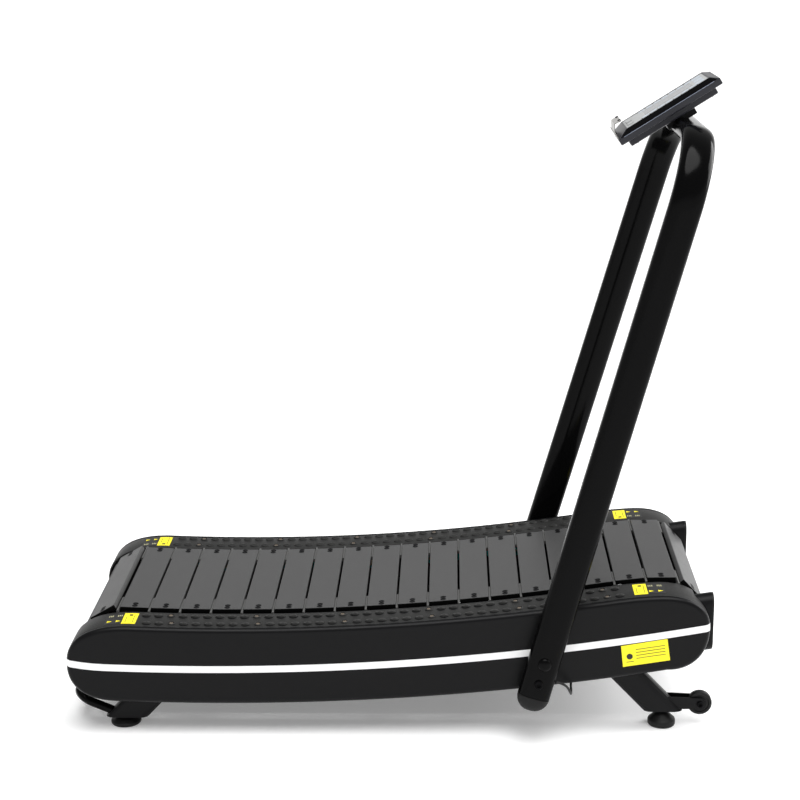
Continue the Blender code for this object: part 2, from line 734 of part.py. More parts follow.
def guide_rollers():
    for label, side in (("left", 1), ("right", -1)):
        middle = side * sum(ROLLER_Y) / 2
        half = (ROLLER_Y[1] - ROLLER_Y[0]) / 2
        profile = [
            (ROLLER_BORE, half), (ROLLER_RADIUS - 0.003, half), (ROLLER_RADIUS, half - 0.003),
            (ROLLER_RADIUS, -half + 0.003), (ROLLER_RADIUS - 0.003, -half), (ROLLER_BORE, -half),
        ]
        for number, x in enumerate(ROLLER_XS, 1):
            cx, cz = roller_centre(x)
            name = f"guide_roller_{label}_{number}"
            turned(name, profile, (cx, middle, cz), (0, 1, 0), "roller_urethane", 16)


SHAFT_RADIUS = 0.0125
PULLEY_RADIUS = 0.0805
PULLEY_Y = (0.150, 0.200)
BEARING_Y = (0.208, 0.2397)


def drive_ends():
    """At each end: a shaft, the two pulleys that carry the belt, and a bearing block on each side frame."""
    for end, (x, z) in (("front", FRONT_PULLEY), ("rear", REAR_PULLEY)):
        cylinder(f"{end}_shaft", SHAFT_RADIUS, (x, -0.236, z), (x, 0.236, z), "steel", 18)
        for label, side in (("left", 1), ("right", -1)):
            half = (PULLEY_Y[1] - PULLEY_Y[0]) / 2
            bore = SHAFT_RADIUS + GAP
            rim, dish = PULLEY_RADIUS - 0.012, half - 0.010
            profile = [
                (bore, half), (0.026, half), (0.028, dish), (rim, dish), (rim, half), (PULLEY_RADIUS, half),
                (PULLEY_RADIUS, -half), (bore, -half),
            ]
            middle = side * sum(PULLEY_Y) / 2
            turned(f"{end}_pulley_{label}", profile, (x, middle, z), (0, side, 0), "cap_plastic", 28)
            block = box(
                f"{end}_bearing_{label}",
                (0.062, BEARING_Y[1] - BEARING_Y[0], 0.062),
                Matrix.Translation((x, side * sum(BEARING_Y) / 2, z)),
                "steel",
            )
            round_long_edges(block, (0, 1, 0), 0.014, 2)
            seat = cylinder(
                f"bearing_seat_{end}_{label}", SHAFT_RADIUS + GAP, (x, side * 0.2, z), (x, side * 0.2375, z),
                sides=18, cutter=True,
            )
            boolean(block, seat)


def slat_belt():
    """Slats bolted to the carrier belts, as one toothed ring: each tooth is a slat."""
    pitch_line = belt_loop(SLAT_THICK)
    total = sum(piece_length(piece) for piece in pitch_line)
    pitch = total / SLAT_COUNT
    half = (pitch - SLAT_GAP) / 2
    outer = []
    for number in range(SLAT_COUNT):
        point, normal = at_length(pitch_line, slat_place(number, pitch))
        along = Vector((normal.y, -normal.x))
        foot = [point - along * half, point + along * half]
        outer += [foot[0], foot[0] + normal * SLAT_THICK, foot[1] + normal * SLAT_THICK, foot[1]]
    inner_line = belt_loop(SLAT_THICK + BELT_THICK)
    inner_total = sum(piece_length(piece) for piece in inner_line)
    count = 2 * SLAT_COUNT
    inner = [at_length(inner_line, inner_total * i / count)[0] for i in range(count)]
    prism("slat_belt", outer, -SLAT_HALF_LENGTH, SLAT_HALF_LENGTH, "slat_rubber", holes=(inner,))


def slat_place(number, pitch):
    """Distance along the pitch line of a slat's middle. The concave stretch starts the line."""
    first = DECK_LOW_X - REAR_PULLEY_X - WRAP_RADIUS * math.sin(DROP_ANGLE)
    gap_near_middle = first + (SLAT_GAP_X - DECK_LOW_X)
    return gap_near_middle + (number + 0.5) * pitch


# ---------------------------------------------------------------- covers


def side_covers():
    """Moulded trays over the side frames, open inwards, with two holes for the handlebar's bosses."""
    for label, side in (("left", 1), ("right", -1)):
        inner, outer = side * (RAIL_OUTER_Y + GAP), side * COVER_OUTER_Y
        cover = prism(f"side_cover_{label}", side_outline(), inner, outer, "cover_plastic")
        bevel_rim(cover, outer, 0.010)
        hollow = prism(
            f"cover_hollow_{label}",
            side_outline(COVER_WALL),
            inner - side * 0.01,
            outer - side * COVER_WALL,
            cutter=True,
        )
        boolean(cover, hollow)
        for number, (x, z) in enumerate(leg_bolt_places()):
            near, far = inner - side * 0.02, outer + side * 0.02
            hole = cylinder(
                f"boss_hole_{label}_{number}", 0.018, (x, near, z), (x, far, z), sides=16, cutter=True
            )
            boolean(cover, hole)


def bevel_rim(obj, y, radius):
    """Rounds the rim of the face that lies at this y."""
    bm = bmesh.new()
    bm.from_mesh(obj.data)
    bmesh.ops.dissolve_limit(bm, angle_limit=0.001, verts=bm.verts, edges=bm.edges)
    rim = []
    for edge in bm.edges:
        at_face = all(abs(vert.co.y - y) < 1e-5 for vert in edge.verts)
        if at_face and len(edge.link_faces) == 2 and edge.calc_face_angle() > 1.0:
            rim.append(edge)
    bmesh.ops.bevel(bm, geom=rim, offset=radius, segments=2, affect="EDGES", profile=0.5)
    bm.to_mesh(obj.data)
    bm.free()


def foot_rails():
    """Anti-slip strips beside the slats, which wrap down round both ends."""
    outer, inner = side_outline(), side_outline(RAIL_THICK)
    first, last = 2, outer_end_index(outer) - 2
    band = outer[first:last] + list(reversed(inner[first:last]))
    start, end = 0.62, 0.85
    for label, side in (("left", 1), ("right", -1)):
        rail = prism(f"foot_rail_{label}", band, side * RAIL_INNER_Y, side * RAIL_OUTER_Y, "rail_plastic")
        places = [Vector((x, side * FRAME_MID_Y, frame_line_z(x) - FRAME_DEPTH)) for x in (start, end)]
        slot = tube(f"tube_slot_{label}", places, frame_section(0.0015), UPRIGHT, cutter=True)
        boolean(rail, slot)
        half = FRAME_HEIGHT / 2 + 0.0015
        notch_outline = [(p.x, p.z + half) for p in places] + [(p.x, p.z - half) for p in reversed(places)]
        inside = side * (RAIL_INNER_Y - 0.01)
        notch = prism(f"tube_notch_{label}", notch_outline, inside, side * FRAME_MID_Y, cutter=True)
        boolean(rail, notch)


def outer_end_index(points):
    """Index just past the last point of the nose's lower quarter."""
    after_nose = [i for i, point in enumerate(points) if point[0] > NOSE_LOW_X - 0.001]
    return after_nose[-1] + 1


# ---------------------------------------------------------------- handlebar


def handlebar_route():
    up = Vector((math.sin(LEG_LEAN), 0, math.cos(LEG_LEAN)))
    toe_in = math.atan(LEG_TOE_IN * math.cos(LEG_LEAN))
    route = [leg_centre(LEG_FOOT_Z, 1), leg_centre(LEG_BEND_Z, 1)]
    start = route[-1]
    steps = 7
    for i in range(1, steps + 1):
        a = toe_in + (math.pi / 2 - toe_in) * i / steps
        rise = BEND_RADIUS * (math.sin(a) - math.sin(toe_in))
        turn_in = BEND_RADIUS * (math.cos(toe_in) - math.cos(a))
        route.append(start + up * rise - Vector((0, turn_in, 0)))
    return route + [Vector((p.x, -p.y, p.z)) for p in reversed(route)]


def tube_section(grow=0.0, count=16):
    return superellipse(TUBE_WIDE / 2 + grow, TUBE_THICK / 2 + grow, OVAL_POWER, count)


def handlebar():
    bar = tube("handlebar", handlebar_route(), tube_section(), ACROSS_LEG, "gloss_tube")
    for label, side in (("left", 1), ("right", -1)):
        for number, (x, z) in enumerate(leg_bolt_places()):
            bolt_hole(bar, f"{label}_{number}", x, z, side)


def leg_bolts():
    """The upper bolt has a domed cover cap, the lower one a cylinder head with a hexagon socket."""
    for label, side in (("left", 1), ("right", -1)):
        for kind, (x, z) in zip(("upper", "lower"), leg_bolt_places()):
            face = abs(leg_centre(z, side).y) + TUBE_THICK / 2 + 0.0011
            shank_end = -(face - FRAME_OUTER_Y - 0.008)
            if kind == "upper":
                head = [(0.0, 0.0085), (0.006, 0.008), (0.011, 0.0062), (0.0155, 0.003), (0.0165, 0.0)]
            else:
                head = [(0.0, 0.003), (0.0045, 0.003), (0.0045, 0.0065), (0.0095, 0.0065), (0.0105, 0.0)]
            profile = head + [(LEG_BOLT_RADIUS, 0.0), (LEG_BOLT_RADIUS, shank_end), (0.0, shank_end)]
            turned(f"leg_bolt_{kind}_{label}", profile, (x, side * face, z), (0, side, 0), "steel", 14)


def handlebar_caps():
    """Rounded plugs in the lower ends of the handlebar."""
    for label, side in (("left", 1), ("right", -1)):
        down = (leg_centre(0.0, side) - leg_centre(1.0, side)).normalized()
        thick = down.cross(ACROSS_LEG).normalized()
        place = leg_centre(LEG_FOOT_Z, side) + down * 0.0012
        bm = bmesh.new()
        bmesh.ops.create_uvsphere(bm, u_segments=16, v_segments=8, radius=1.0)
        bmesh.ops.delete(bm, geom=[vert for vert in bm.verts if vert.co.z > 0.01], context="VERTS")
        bmesh.ops.holes_fill(bm, edges=[edge for edge in bm.edges if edge.is_boundary])
        for vert in bm.verts:
            a = math.atan2(vert.co.y, vert.co.x)
            ring = math.hypot(vert.co.x, vert.co.y)
            c, s = math.cos(a), math.sin(a)
            across = TUBE_WIDE / 2 * ring * math.copysign(abs(c) ** (2 / OVAL_POWER), c)
            through = TUBE_THICK / 2 * ring * math.copysign(abs(s) ** (2 / OVAL_POWER), s)
            vert.co = place + ACROSS_LEG * across + thick * through - down * vert.co.z * TUBE_CAP
        mesh_object(f"handlebar_cap_{label}", bm, "cap_plastic")


# ---------------------------------------------------------------- console


def console_matrix():
    return Matrix.Translation(CONSOLE_CENTRE) @ Matrix.Rotation(-CONSOLE_TILT, 4, "Y")


CASE_LENGTH, CASE_WIDTH = 0.2755, 0.172
CASE_LOW, CASE_RIDGE, CASE_TOP = -0.0082, 0.0080, 0.0185  # heights of the underside, the ridge and the face
FACE_LENGTH, FACE_WIDTH = 0.221, 0.129
FACE_SINK = 0.003
FACE_MIDDLE = 0.0063  # along the console from its centre
BACK_LOW = -0.0250
KEY_PLACES = (-0.022, 0.022)
KEY_U = -0.091


def console():
    place = console_matrix()
    case = box(
        "console_case",
        (CASE_LENGTH, CASE_WIDTH, CASE_RIDGE - CASE_LOW),
        place @ Matrix.Translation((0.0013, 0, (CASE_RIDGE + CASE_LOW) / 2)),
        "console_plastic",
        bevel=0.002,
    )
    bezel = tapered_box(
        "bezel_rise",
        (CASE_LENGTH - 0.003, CASE_WIDTH - 0.003),
        (FACE_LENGTH + 0.008, FACE_WIDTH + 0.008),
        (CASE_RIDGE - 0.001, CASE_TOP),
        (0.0013, 0.0065),
        place,
    )
    boolean(case, bezel, "UNION")
    recess = box(
        "face_recess",
        (FACE_LENGTH + 2 * GAP, FACE_WIDTH + 2 * GAP, 0.02),
        place @ Matrix.Translation((FACE_MIDDLE, 0, CASE_TOP - FACE_SINK + 0.01)),
        cutter=True,
    )
    boolean(case, recess)
    face = box(
        "console_display",
        (FACE_LENGTH, FACE_WIDTH, FACE_SINK - 0.001),
        place @ Matrix.Translation((FACE_MIDDLE, 0, CASE_TOP - FACE_SINK / 2 - 0.0002)),
        "console_face",
    )
    for number, y in enumerate(KEY_PLACES, 1):
        well = box(
            f"key_well_{number}",
            (0.0165, 0.0305, 0.012),
            place @ Matrix.Translation((KEY_U, y, CASE_TOP - 0.002)),
            cutter=True,
        )
        boolean(case, well)
        boolean(face, well)
        box(
            f"console_key_{number}",
            (0.0155, 0.0295, 0.0065),
            place @ Matrix.Translation((KEY_U, y, CASE_TOP - 0.0022)),
            "console_face",
            bevel=0.001,
        )
    box(
        "console_back",
        (0.2375, 0.136, CASE_LOW - BACK_LOW - GAP),
        place @ Matrix.Translation((0.0018, 0, (CASE_LOW - GAP + BACK_LOW) / 2)),
        "console_plastic",
        bevel=0.003,
    )
    console_tray(place)
    bracket_low = -0.0450
    bracket = box(
        "console_bracket",
        (0.078, 0.064, BACK_LOW - GAP - bracket_low),
        place @ Matrix.Translation((0.018, 0, (BACK_LOW - GAP + bracket_low) / 2)),
        "frame_paint",
        bevel=0.002,
    )
    saddle = tube("saddle_cut", handlebar_route(), tube_section(GAP), ACROSS_LEG, cutter=True)
    boolean(bracket, saddle)


def tapered_box(name, size, top_size, heights, shifts, matrix):
    """A cutter box between two heights whose top face is smaller than its bottom one."""
    bm = bmesh.new()
    bmesh.ops.create_cube(bm, size=1.0)
    for vert in bm.verts:
        upper = vert.co.z > 0
        plan = top_size if upper else size
        vert.co = Vector((vert.co.x * plan[0] + shifts[upper], vert.co.y * plan[1], heights[upper]))
    bm.transform(matrix)
    return mesh_object(name, bm, None, cutter=True)


def console_tray(place):
    """Lip across the console's lower end, with a taller hooked clip in its middle."""
    low = CASE_RIDGE + GAP
    lip = [(-0.1365, low), (-0.1342, low + 0.0006), (-0.1342, 0.0225), (-0.1365, 0.0225)]
    tray = prism("console_tray", lip, -0.070, 0.070, "console_plastic")
    clip = [(-0.1350, 0.0140), (-0.1350, 0.0225), (-0.1252, 0.0405), (-0.1075, 0.0405), (-0.1075, 0.0383),
            (-0.1238, 0.0383), (-0.1325, 0.0220), (-0.1335, 0.0140)]
    hook = prism("tray_clip", clip, -0.044, 0.044, cutter=True)
    boolean(tray, hook, "UNION")
    for piece in (tray, hook):
        piece.data.transform(place)


def sensor_cable():
    """Short loop from the right leg of the handlebar, under the cover's edge, up to the frame."""
    route = [
        (0.4015, -0.3715, 0.156), (0.412, -0.3715, 0.154), (0.424, -0.371, 0.147), (0.432, -0.368, 0.136),
        (0.436, -0.361, 0.125), (0.438, -0.351, 0.118), (0.439, -0.339, 0.115), (0.440, -0.327, 0.117),
        (0.440, -0.316, 0.123), (0.441, -0.307, 0.133), (0.441, -0.301, 0.145), (0.442, -0.2985, 0.158),
        (0.442, -0.2975, 0.171),
    ]
    round_tube("sensor_cable", route, 0.003, "cable", 2)


def build():
    side_frames()
    frame_caps()
    cross_members()
    legs()
    levelling_feet()
    transport_wheels()
    lift_handle()
    roller_rails()
    guide_rollers()
    drive_ends()
    slat_belt()
    side_covers()
    foot_rails()
    handlebar()
    handlebar_caps()
    leg_bolts()
    console()
    sensor_cable()


build()
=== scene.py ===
"""Looks of the curved manual treadmill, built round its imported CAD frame.

Metres, in the CAD's frame: +X to the console end, +Y to the runner's left, +Z up, the floor at z = 0.
"""

import json
import math

import bmesh
import bpy
from mathutils import Matrix, Vector


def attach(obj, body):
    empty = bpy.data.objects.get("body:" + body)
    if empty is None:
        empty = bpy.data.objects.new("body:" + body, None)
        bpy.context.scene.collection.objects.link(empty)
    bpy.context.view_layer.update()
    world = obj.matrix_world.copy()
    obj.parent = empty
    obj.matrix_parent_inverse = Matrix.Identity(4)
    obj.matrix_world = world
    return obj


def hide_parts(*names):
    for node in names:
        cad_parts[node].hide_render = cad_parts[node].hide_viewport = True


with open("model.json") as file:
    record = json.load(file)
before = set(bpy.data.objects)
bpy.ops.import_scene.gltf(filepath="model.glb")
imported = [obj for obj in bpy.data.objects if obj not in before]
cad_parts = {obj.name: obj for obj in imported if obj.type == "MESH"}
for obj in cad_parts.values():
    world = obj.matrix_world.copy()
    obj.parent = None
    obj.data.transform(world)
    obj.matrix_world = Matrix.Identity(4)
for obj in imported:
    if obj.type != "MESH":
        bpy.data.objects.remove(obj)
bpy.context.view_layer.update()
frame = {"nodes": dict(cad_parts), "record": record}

SIDES = (("left", 1), ("right", -1))
QUARTER_TURN = math.pi / 2

# ---- running surface, seen from the side
DECK_RADIUS = 5.9
DECK_LOW_X = -0.398
DECK_LOW_Z = 0.2822
CONCAVE_END_X = 0.45
CREST_X = 0.672
CREST_RADIUS = 0.758
WRAP_RADIUS = 0.098
REAR_PULLEY_X = -0.674
RETURN_RADIUS = 8.0
SLAT_COUNT = 42
SLAT_THICK = 0.012
SLAT_GAP = 0.0055
SLAT_HALF_LENGTH = 0.2165
SLAT_GAP_X = -0.1395  # where one of the gaps between the slats lies
BELT_THICK = 0.003
RISE_ANGLE = math.asin((CONCAVE_END_X - DECK_LOW_X) / DECK_RADIUS)

# ---- covers, rails and frame tubes
REAR_X = -0.793
NOSE_X = 0.7715
REAR_MID_Z = 0.184
NOSE_MID_Z = 0.282
REAR_TOP_X = -0.640
REAR_LOW_X = -0.660
NOSE_TOP_X = 0.655
NOSE_LOW_X = 0.670
REAR_POWER = 2.4
NOSE_POWER = 2.25
RAIL_RISE = -0.0047
RAIL_THICK = 0.004
SKIRT_LOW_X = -0.42
SKIRT_LOW_Z = 0.081
SKIRT_RADIUS = 6.57
RAIL_INNER_Y = 0.234
RAIL_OUTER_Y = 0.3222
COVER_OUTER_Y = 0.340
COVER_WALL = 0.003
COVER_ROUNDING = 0.012
SEAM_WIDE = 0.0022  # the sunk seam between rail and cover
FRAME_MID_Y = 0.265
FRAME_WIDE = 0.050
FRAME_HEIGHT = 0.146
FRAME_DEPTH = 0.1181
FRAME_REAR_X = -0.720
FRAME_FRONT_X = 0.781

# ---- handlebar
LEG_LEAN = math.radians(15.83)
LEG_TOE_IN = 0.04296
LEG_REF = Vector((0.485, 0.3562, 0.6145))
LEG_FOOT_Z = 0.1255
LEG_BEND_Z = 1.291
BEND_RADIUS = 0.165
TUBE_WIDE = 0.0785
TUBE_THICK = 0.048
TUBE_CAP = 0.038
OVAL_POWER = 2.6
LEG_BOLT_Z = {"upper": 0.2125, "lower": 0.1625}
ACROSS_LEG = Vector((math.cos(LEG_LEAN), 0, -math.sin(LEG_LEAN)))

# ---- console
CONSOLE_CENTRE = Vector((0.6677, 0.0, 1.4889))
CONSOLE_TILT = math.radians(31.9)

# ---- camera, light and floor

CAMERA_ANGLES = (-1.702, 15.247, -0.554)  # yaw, pitch and roll in degrees
CAMERA_PLACE = (0.1500, -4.3859, 1.9574)
CAMERA_LENS_MM = 81.0


def linked(name, data):
    """A new object that holds the data and is in the scene."""
    obj = bpy.data.objects.new(name, data)
    bpy.context.scene.collection.objects.link(obj)
    return obj


def give(node, values):
    """Sets a node's inputs by name."""
    for name, value in values.items():
        node.inputs[name].default_value = value


def make_camera():
    yaw, pitch, roll = (math.radians(a) for a in CAMERA_ANGLES)
    ahead = Vector((math.sin(yaw) * math.cos(pitch), math.cos(yaw) * math.cos(pitch), -math.sin(pitch)))
    level = Vector((math.cos(yaw), -math.sin(yaw), 0))
    over = level.cross(ahead)
    right = level * math.cos(roll) + over * math.sin(roll)
    up = over * math.cos(roll) - level * math.sin(roll)
    data = bpy.data.cameras.new("camera")
    data.lens = CAMERA_LENS_MM
    data.sensor_width = 36.0
    data.clip_end = 400.0
    camera = linked("camera", data)
    turn = Matrix((right, up, -ahead)).transposed().to_4x4()
    camera.matrix_world = Matrix.Translation(CAMERA_PLACE) @ turn
    bpy.context.scene.camera = camera


def make_studio():
    world = bpy.data.worlds.new("studio")
    world.use_nodes = True
    nodes, links = world.node_tree.nodes, world.node_tree.links
    place = nodes.new("ShaderNodeTexCoord")
    parts = nodes.new("ShaderNodeSeparateXYZ")
    fade = nodes.new("ShaderNodeMapRange")
    give(fade, {"From Min": 0.17, "From Max": 0.34, "To Min": 1.0, "To Max": 0.36})
    links.new(place.outputs["Generated"], parts.inputs["Vector"])
    links.new(parts.outputs["Z"], fade.inputs["Value"])
    links.new(fade.outputs["Result"], nodes["Background"].inputs["Strength"])
    nodes["Background"].inputs["Color"].default_value = (1, 1, 1, 1)
    bpy.context.scene.world = world
    bpy.context.scene.view_settings.view_transform = "Standard"
    sun = bpy.data.lights.new("overhead", "SUN")
    sun.energy = 3.0
    sun.angle = math.radians(45)
    linked("overhead", sun).rotation_euler = (math.radians(14), math.radians(4), 0)
    soft = bpy.data.lights.new("softbox", "AREA")
    soft.shape = "RECTANGLE"
    soft.size = 2.6
    soft.size_y = 2.0
    soft.energy = 120
    softbox = linked("softbox", soft)
    softbox.location = (3.6, 0.9, 2.2)
    softbox.rotation_euler = (Vector((0.6, 0, 0.5)) - softbox.location).to_track_quat("-Z", "Y").to_euler()
    bm = bmesh.new()
    bmesh.ops.create_grid(bm, x_segments=2, y_segments=2, size=150.0)
    floor = linked("floor", as_mesh("floor", bm))
    floor.location.z = -0.0005
    paper = surface("studio_floor", (0.86, 0.86, 0.86), 0.75, specular=0.1, tone=0.01)
    glow = {"Emission Color": (1, 1, 1, 1), "Emission Strength": 0.20}
    give(paper.node_tree.nodes["Principled BSDF"], glow)
    floor.data.materials.append(paper)


# ---- materials


def surface(
    name, colour, roughness, metallic=0.0, specular=0.5, tone=0.12, tone_scale=9.0, rough_spread=0.05,
    grain_scale=900.0, grain_height=0.0, grain_strength=0.3,
):
    """A procedural finish: slow changes of tone and roughness, and a fine grain in the bump."""
    made = bpy.data.materials.new(name)
    made.use_nodes = True
    new, link = made.node_tree.nodes.new, made.node_tree.links.new
    shader = made.node_tree.nodes["Principled BSDF"]
    give(shader, {"Metallic": metallic, "Specular IOR Level": specular, "Coat Weight": 0.0})
    place = new("ShaderNodeTexCoord")
    slow = new("ShaderNodeTexNoise")
    give(slow, {"Scale": tone_scale, "Detail": 4.0})
    link(place.outputs["Object"], slow.inputs["Vector"])
    blend = new("ShaderNodeMix")
    blend.data_type = "RGBA"
    darker = (*(c * (1 - tone) for c in colour), 1.0)
    lighter = (*(min(1.0, c * (1 + tone)) for c in colour), 1.0)
    give(blend, {"A": darker, "B": lighter})
    link(slow.outputs["Fac"], blend.inputs["Factor"])
    link(blend.outputs["Result"], shader.inputs["Base Color"])
    spread = new("ShaderNodeMapRange")
    smoothest, roughest = max(0.0, roughness - rough_spread), min(1.0, roughness + rough_spread)
    give(spread, {"To Min": smoothest, "To Max": roughest})
    link(slow.outputs["Fac"], spread.inputs["Value"])
    link(spread.outputs["Result"], shader.inputs["Roughness"])
    if grain_height:
        fine = new("ShaderNodeTexNoise")
        give(fine, {"Scale": grain_scale, "Detail": 2.0})
        link(place.outputs["Object"], fine.inputs["Vector"])
        bump = new("ShaderNodeBump")
        give(bump, {"Strength": grain_strength, "Distance": grain_height})
        link(fine.outputs["Fac"], bump.inputs["Height"])
        link(bump.outputs["Normal"], shader.inputs["Normal"])
    return made


def brushed(name, colour, roughness, axis_scale):
    """Metal with fine lines: the noise is stretched along the axis that has the small scale."""
    made = surface(name, colour, roughness, metallic=1.0, tone=0.06)
    nodes, link = made.node_tree.nodes, made.node_tree.links.new
    place = next(node for node in nodes if node.bl_idname == "ShaderNodeTexCoord")
    stretch = nodes.new("ShaderNodeMapping")
    stretch.inputs["Scale"].default_value = axis_scale
    lines = nodes.new("ShaderNodeTexNoise")
    lines.inputs["Scale"].default_value = 40.0
    bump = nodes.new("ShaderNodeBump")
    give(bump, {"Strength": 0.2, "Distance": 0.0002})
    link(place.outputs["Object"], stretch.inputs["Vector"])
    link(stretch.outputs["Vector"], lines.inputs["Vector"])
    link(lines.outputs["Fac"], bump.inputs["Height"])
    link(bump.outputs["Normal"], nodes["Principled BSDF"].inputs["Normal"])
    return made


FINISH = {
    "frame_paint": surface(
        "powder_coat", (0.0045, 0.0045, 0.005), 0.38, specular=0.12, grain_scale=1100, grain_height=0.0002
    ),
    "gloss_tube": surface(
        "gloss_paint", (0.0016, 0.0016, 0.0017), 0.14, specular=0.07, tone=0.2, rough_spread=0.03,
        grain_scale=500, grain_height=0.0001, grain_strength=0.15,
    ),
    "cover_plastic": surface(
        "cover_grain", (0.0032, 0.0032, 0.0036), 0.34, specular=0.13, grain_scale=1500, grain_height=0.0003,
        grain_strength=0.5,
    ),
    "rail_plastic": surface(
        "rail_grain", (0.0185, 0.0185, 0.0180), 0.50, specular=0.22, tone=0.2, grain_scale=1200,
        grain_height=0.0004, grain_strength=0.5,
    ),
    "cap_plastic": surface("moulded_black", (0.007, 0.007, 0.007), 0.45, specular=0.16, grain_height=0.0002),
    "slat_rubber": surface(
        "slat_face", (0.053, 0.053, 0.053), 0.42, specular=0.32, tone=0.09, tone_scale=14, grain_scale=1300,
        grain_height=0.0004, grain_strength=0.6,
    ),
    "roller_urethane": surface("turquoise_urethane", (0.0, 0.48, 0.42), 0.4, tone=0.15),
    "steel": brushed("zinc_plate", (0.55, 0.55, 0.56), 0.32, (1, 12, 1)),
    "foot_rubber": surface("moulded_rubber", (0.008, 0.008, 0.008), 0.5, specular=0.2, grain_height=0.0003),
    "console_plastic": surface(
        "console_shell", (0.020, 0.0205, 0.026), 0.32, specular=0.3, grain_scale=1600, grain_height=0.0002
    ),
    "console_face": surface("membrane", (0.43, 0.44, 0.44), 0.35, tone=0.03, specular=0.2),
    "tray_plastic": surface("pale_plastic", (0.30, 0.295, 0.28), 0.3, tone=0.3, tone_scale=60, specular=0.5),
    "cable": surface("cable_sheath", (0.010, 0.010, 0.010), 0.45, specular=0.4, grain_height=0.0002),
}
WHITE_FILM = surface("white_film", (0.90, 0.90, 0.90), 0.35, tone=0.01, specular=0.4)
YELLOW_FILM = surface("yellow_film", (0.95, 0.83, 0.012), 0.40, tone=0.02, specular=0.4)
DARK_INK = surface("dark_ink", (0.02, 0.02, 0.02), 0.5, tone=0.05, specular=0.3)
PALE_INK = surface("pale_ink", (0.55, 0.53, 0.30), 0.5, tone=0.05, specular=0.3)
# Black oxide for the real screws and bolts; the same near-black also paints the shade crescents round the
# rail studs.
BLACK_SCREW_AND_SHADE = surface("black_oxide_and_painted_shade", (0.0030, 0.0030, 0.0035), 0.50, specular=0.05)
# Painted shade: near-black for the slats' end faces, which lie in shade beside the rails.
SLAT_END_SHADE = surface("painted_shade_slat_ends", (0.0025, 0.0025, 0.0025), 0.55, specular=0.05, grain_height=0.0002)
LINK_GREY = surface("link_rubber", (0.085, 0.085, 0.083), 0.55, tone=0.1, specular=0.3, grain_height=0.0003)
HUB_PALE = surface("roller_hub", (0.42, 0.36, 0.24), 0.4, tone=0.15)
SCREW_TAN = surface("yellow_zinc", (0.150, 0.120, 0.090), 0.45, tone=0.3, tone_scale=300)
CELL_PALE = surface("membrane_cell", (0.46, 0.51, 0.57), 0.3, tone=0.02, specular=0.2)
CELL_GREY = surface("membrane_window", (0.30, 0.31, 0.32), 0.25, tone=0.05, specular=0.2)
# Painted highlight: pale blue-grey for the thin line along each of the console's ridges.
RIDGE_HIGHLIGHT = surface("painted_ridge_highlight", (0.30, 0.34, 0.43), 0.3, tone=0.05, specular=0.4)
BEZEL_BLACK = surface("bezel_trim", (0.003, 0.003, 0.0035), 0.45, specular=0.04)


def dress_cad_nodes():
    """Gives each CAD node that stays in view the finish of its material slot."""
    for row in frame["record"]["subparts"]:
        obj = frame["nodes"][row["node"]]
        for place in obj.material_slots:
            place.material = FINISH[row["material_slot"]]


# ---- mesh tools


def solid(bm, rings, material_index=0):
    """Skins a closed solid over rings of points, with its faces turned out."""
    loops = [[bm.verts.new(point) for point in ring] for ring in rings]
    faces = []
    for low, high in zip(loops, loops[1:]):
        for i in range(len(low)):
            j = (i + 1) % len(low)
            faces.append(bm.faces.new((low[i], low[j], high[j], high[i])))
    faces.append(bm.faces.new(list(reversed(loops[0]))))
    faces.append(bm.faces.new(loops[-1]))
    volume = 0.0
    for face in faces:
        first = face.verts[0].co
        for a, b in zip(face.verts[1:], face.verts[2:]):
            volume += first.dot(a.co.cross(b.co))
        face.material_index = material_index
    if volume < 0:
        bmesh.ops.reverse_faces(bm, faces=faces)


def as_mesh(name, bm):
    mesh = bpy.data.meshes.new(name)
    bm.to_mesh(mesh)
    bm.free()
    return mesh


def add_piece(name, bm, slot, materials=None, body="root", replaces=(), smooth=35, flat_sides=False):
    """A piece of the given materials, or of its slot's own finish."""
    mesh = as_mesh(name, bm)
    mesh.shade_smooth()
    mesh.set_sharp_from_angle(angle=math.radians(smooth))
    for material in materials or [FINISH[slot]]:
        mesh.materials.append(material)
    obj = linked(name, mesh)
    if flat_sides:
        obj.modifiers.new("even_shading", "WEIGHTED_NORMAL").keep_sharp = True
    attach(obj, body)
    if replaces:
        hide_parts(*replaces)
    return obj


def add_solid(name, rings, slot, **options):
    """A piece that is one closed solid, with add_piece's options."""
    bm = bmesh.new()
    solid(bm, rings)
    return add_piece(name, bm, slot, **options)


def turned_rings(profile, place, direction, sides):
    """Rings of a solid turned about a direction, from (radius, distance along) points that run end to end."""
    turn = Matrix.Translation(place) @ Vector(direction).to_track_quat("Z", "Y").to_matrix().to_4x4()
    rings = []
    for radius, along in profile:
        radius = max(radius, 1e-5)
        ring = []
        for i in range(sides):
            a = 2 * math.pi * i / sides
            ring.append(turn @ Vector((radius * math.cos(a), radius * math.sin(a), along)))
        rings.append(ring)
    return rings


def spaced(first, last, steps):
    """The values that split a stretch into equal steps, with both its ends."""
    return [first + (last - first) * i / steps for i in range(steps + 1)]


def and_mirrored(profile):
    """A wheel's profile from one face to its middle, carried on to the other face."""
    return profile + [(radius, -along) for radius, along in reversed(profile)]


def arc(centre, radius, start, end, count):
    angles = spaced(start, end, count - 1)
    return [(centre[0] + radius * math.cos(a), centre[1] + radius * math.sin(a)) for a in angles]


def oval_point(half_width, half_height, power, a):
    """The point of a superellipse about the origin at the angle a."""
    c, s = math.cos(a), math.sin(a)
    x = half_width * math.copysign(abs(c) ** (2 / power), c)
    return x, half_height * math.copysign(abs(s) ** (2 / power), s)


def superellipse(half_width, half_height, power, count):
    return [oval_point(half_width, half_height, power, 2 * math.pi * i / count) for i in range(count)]


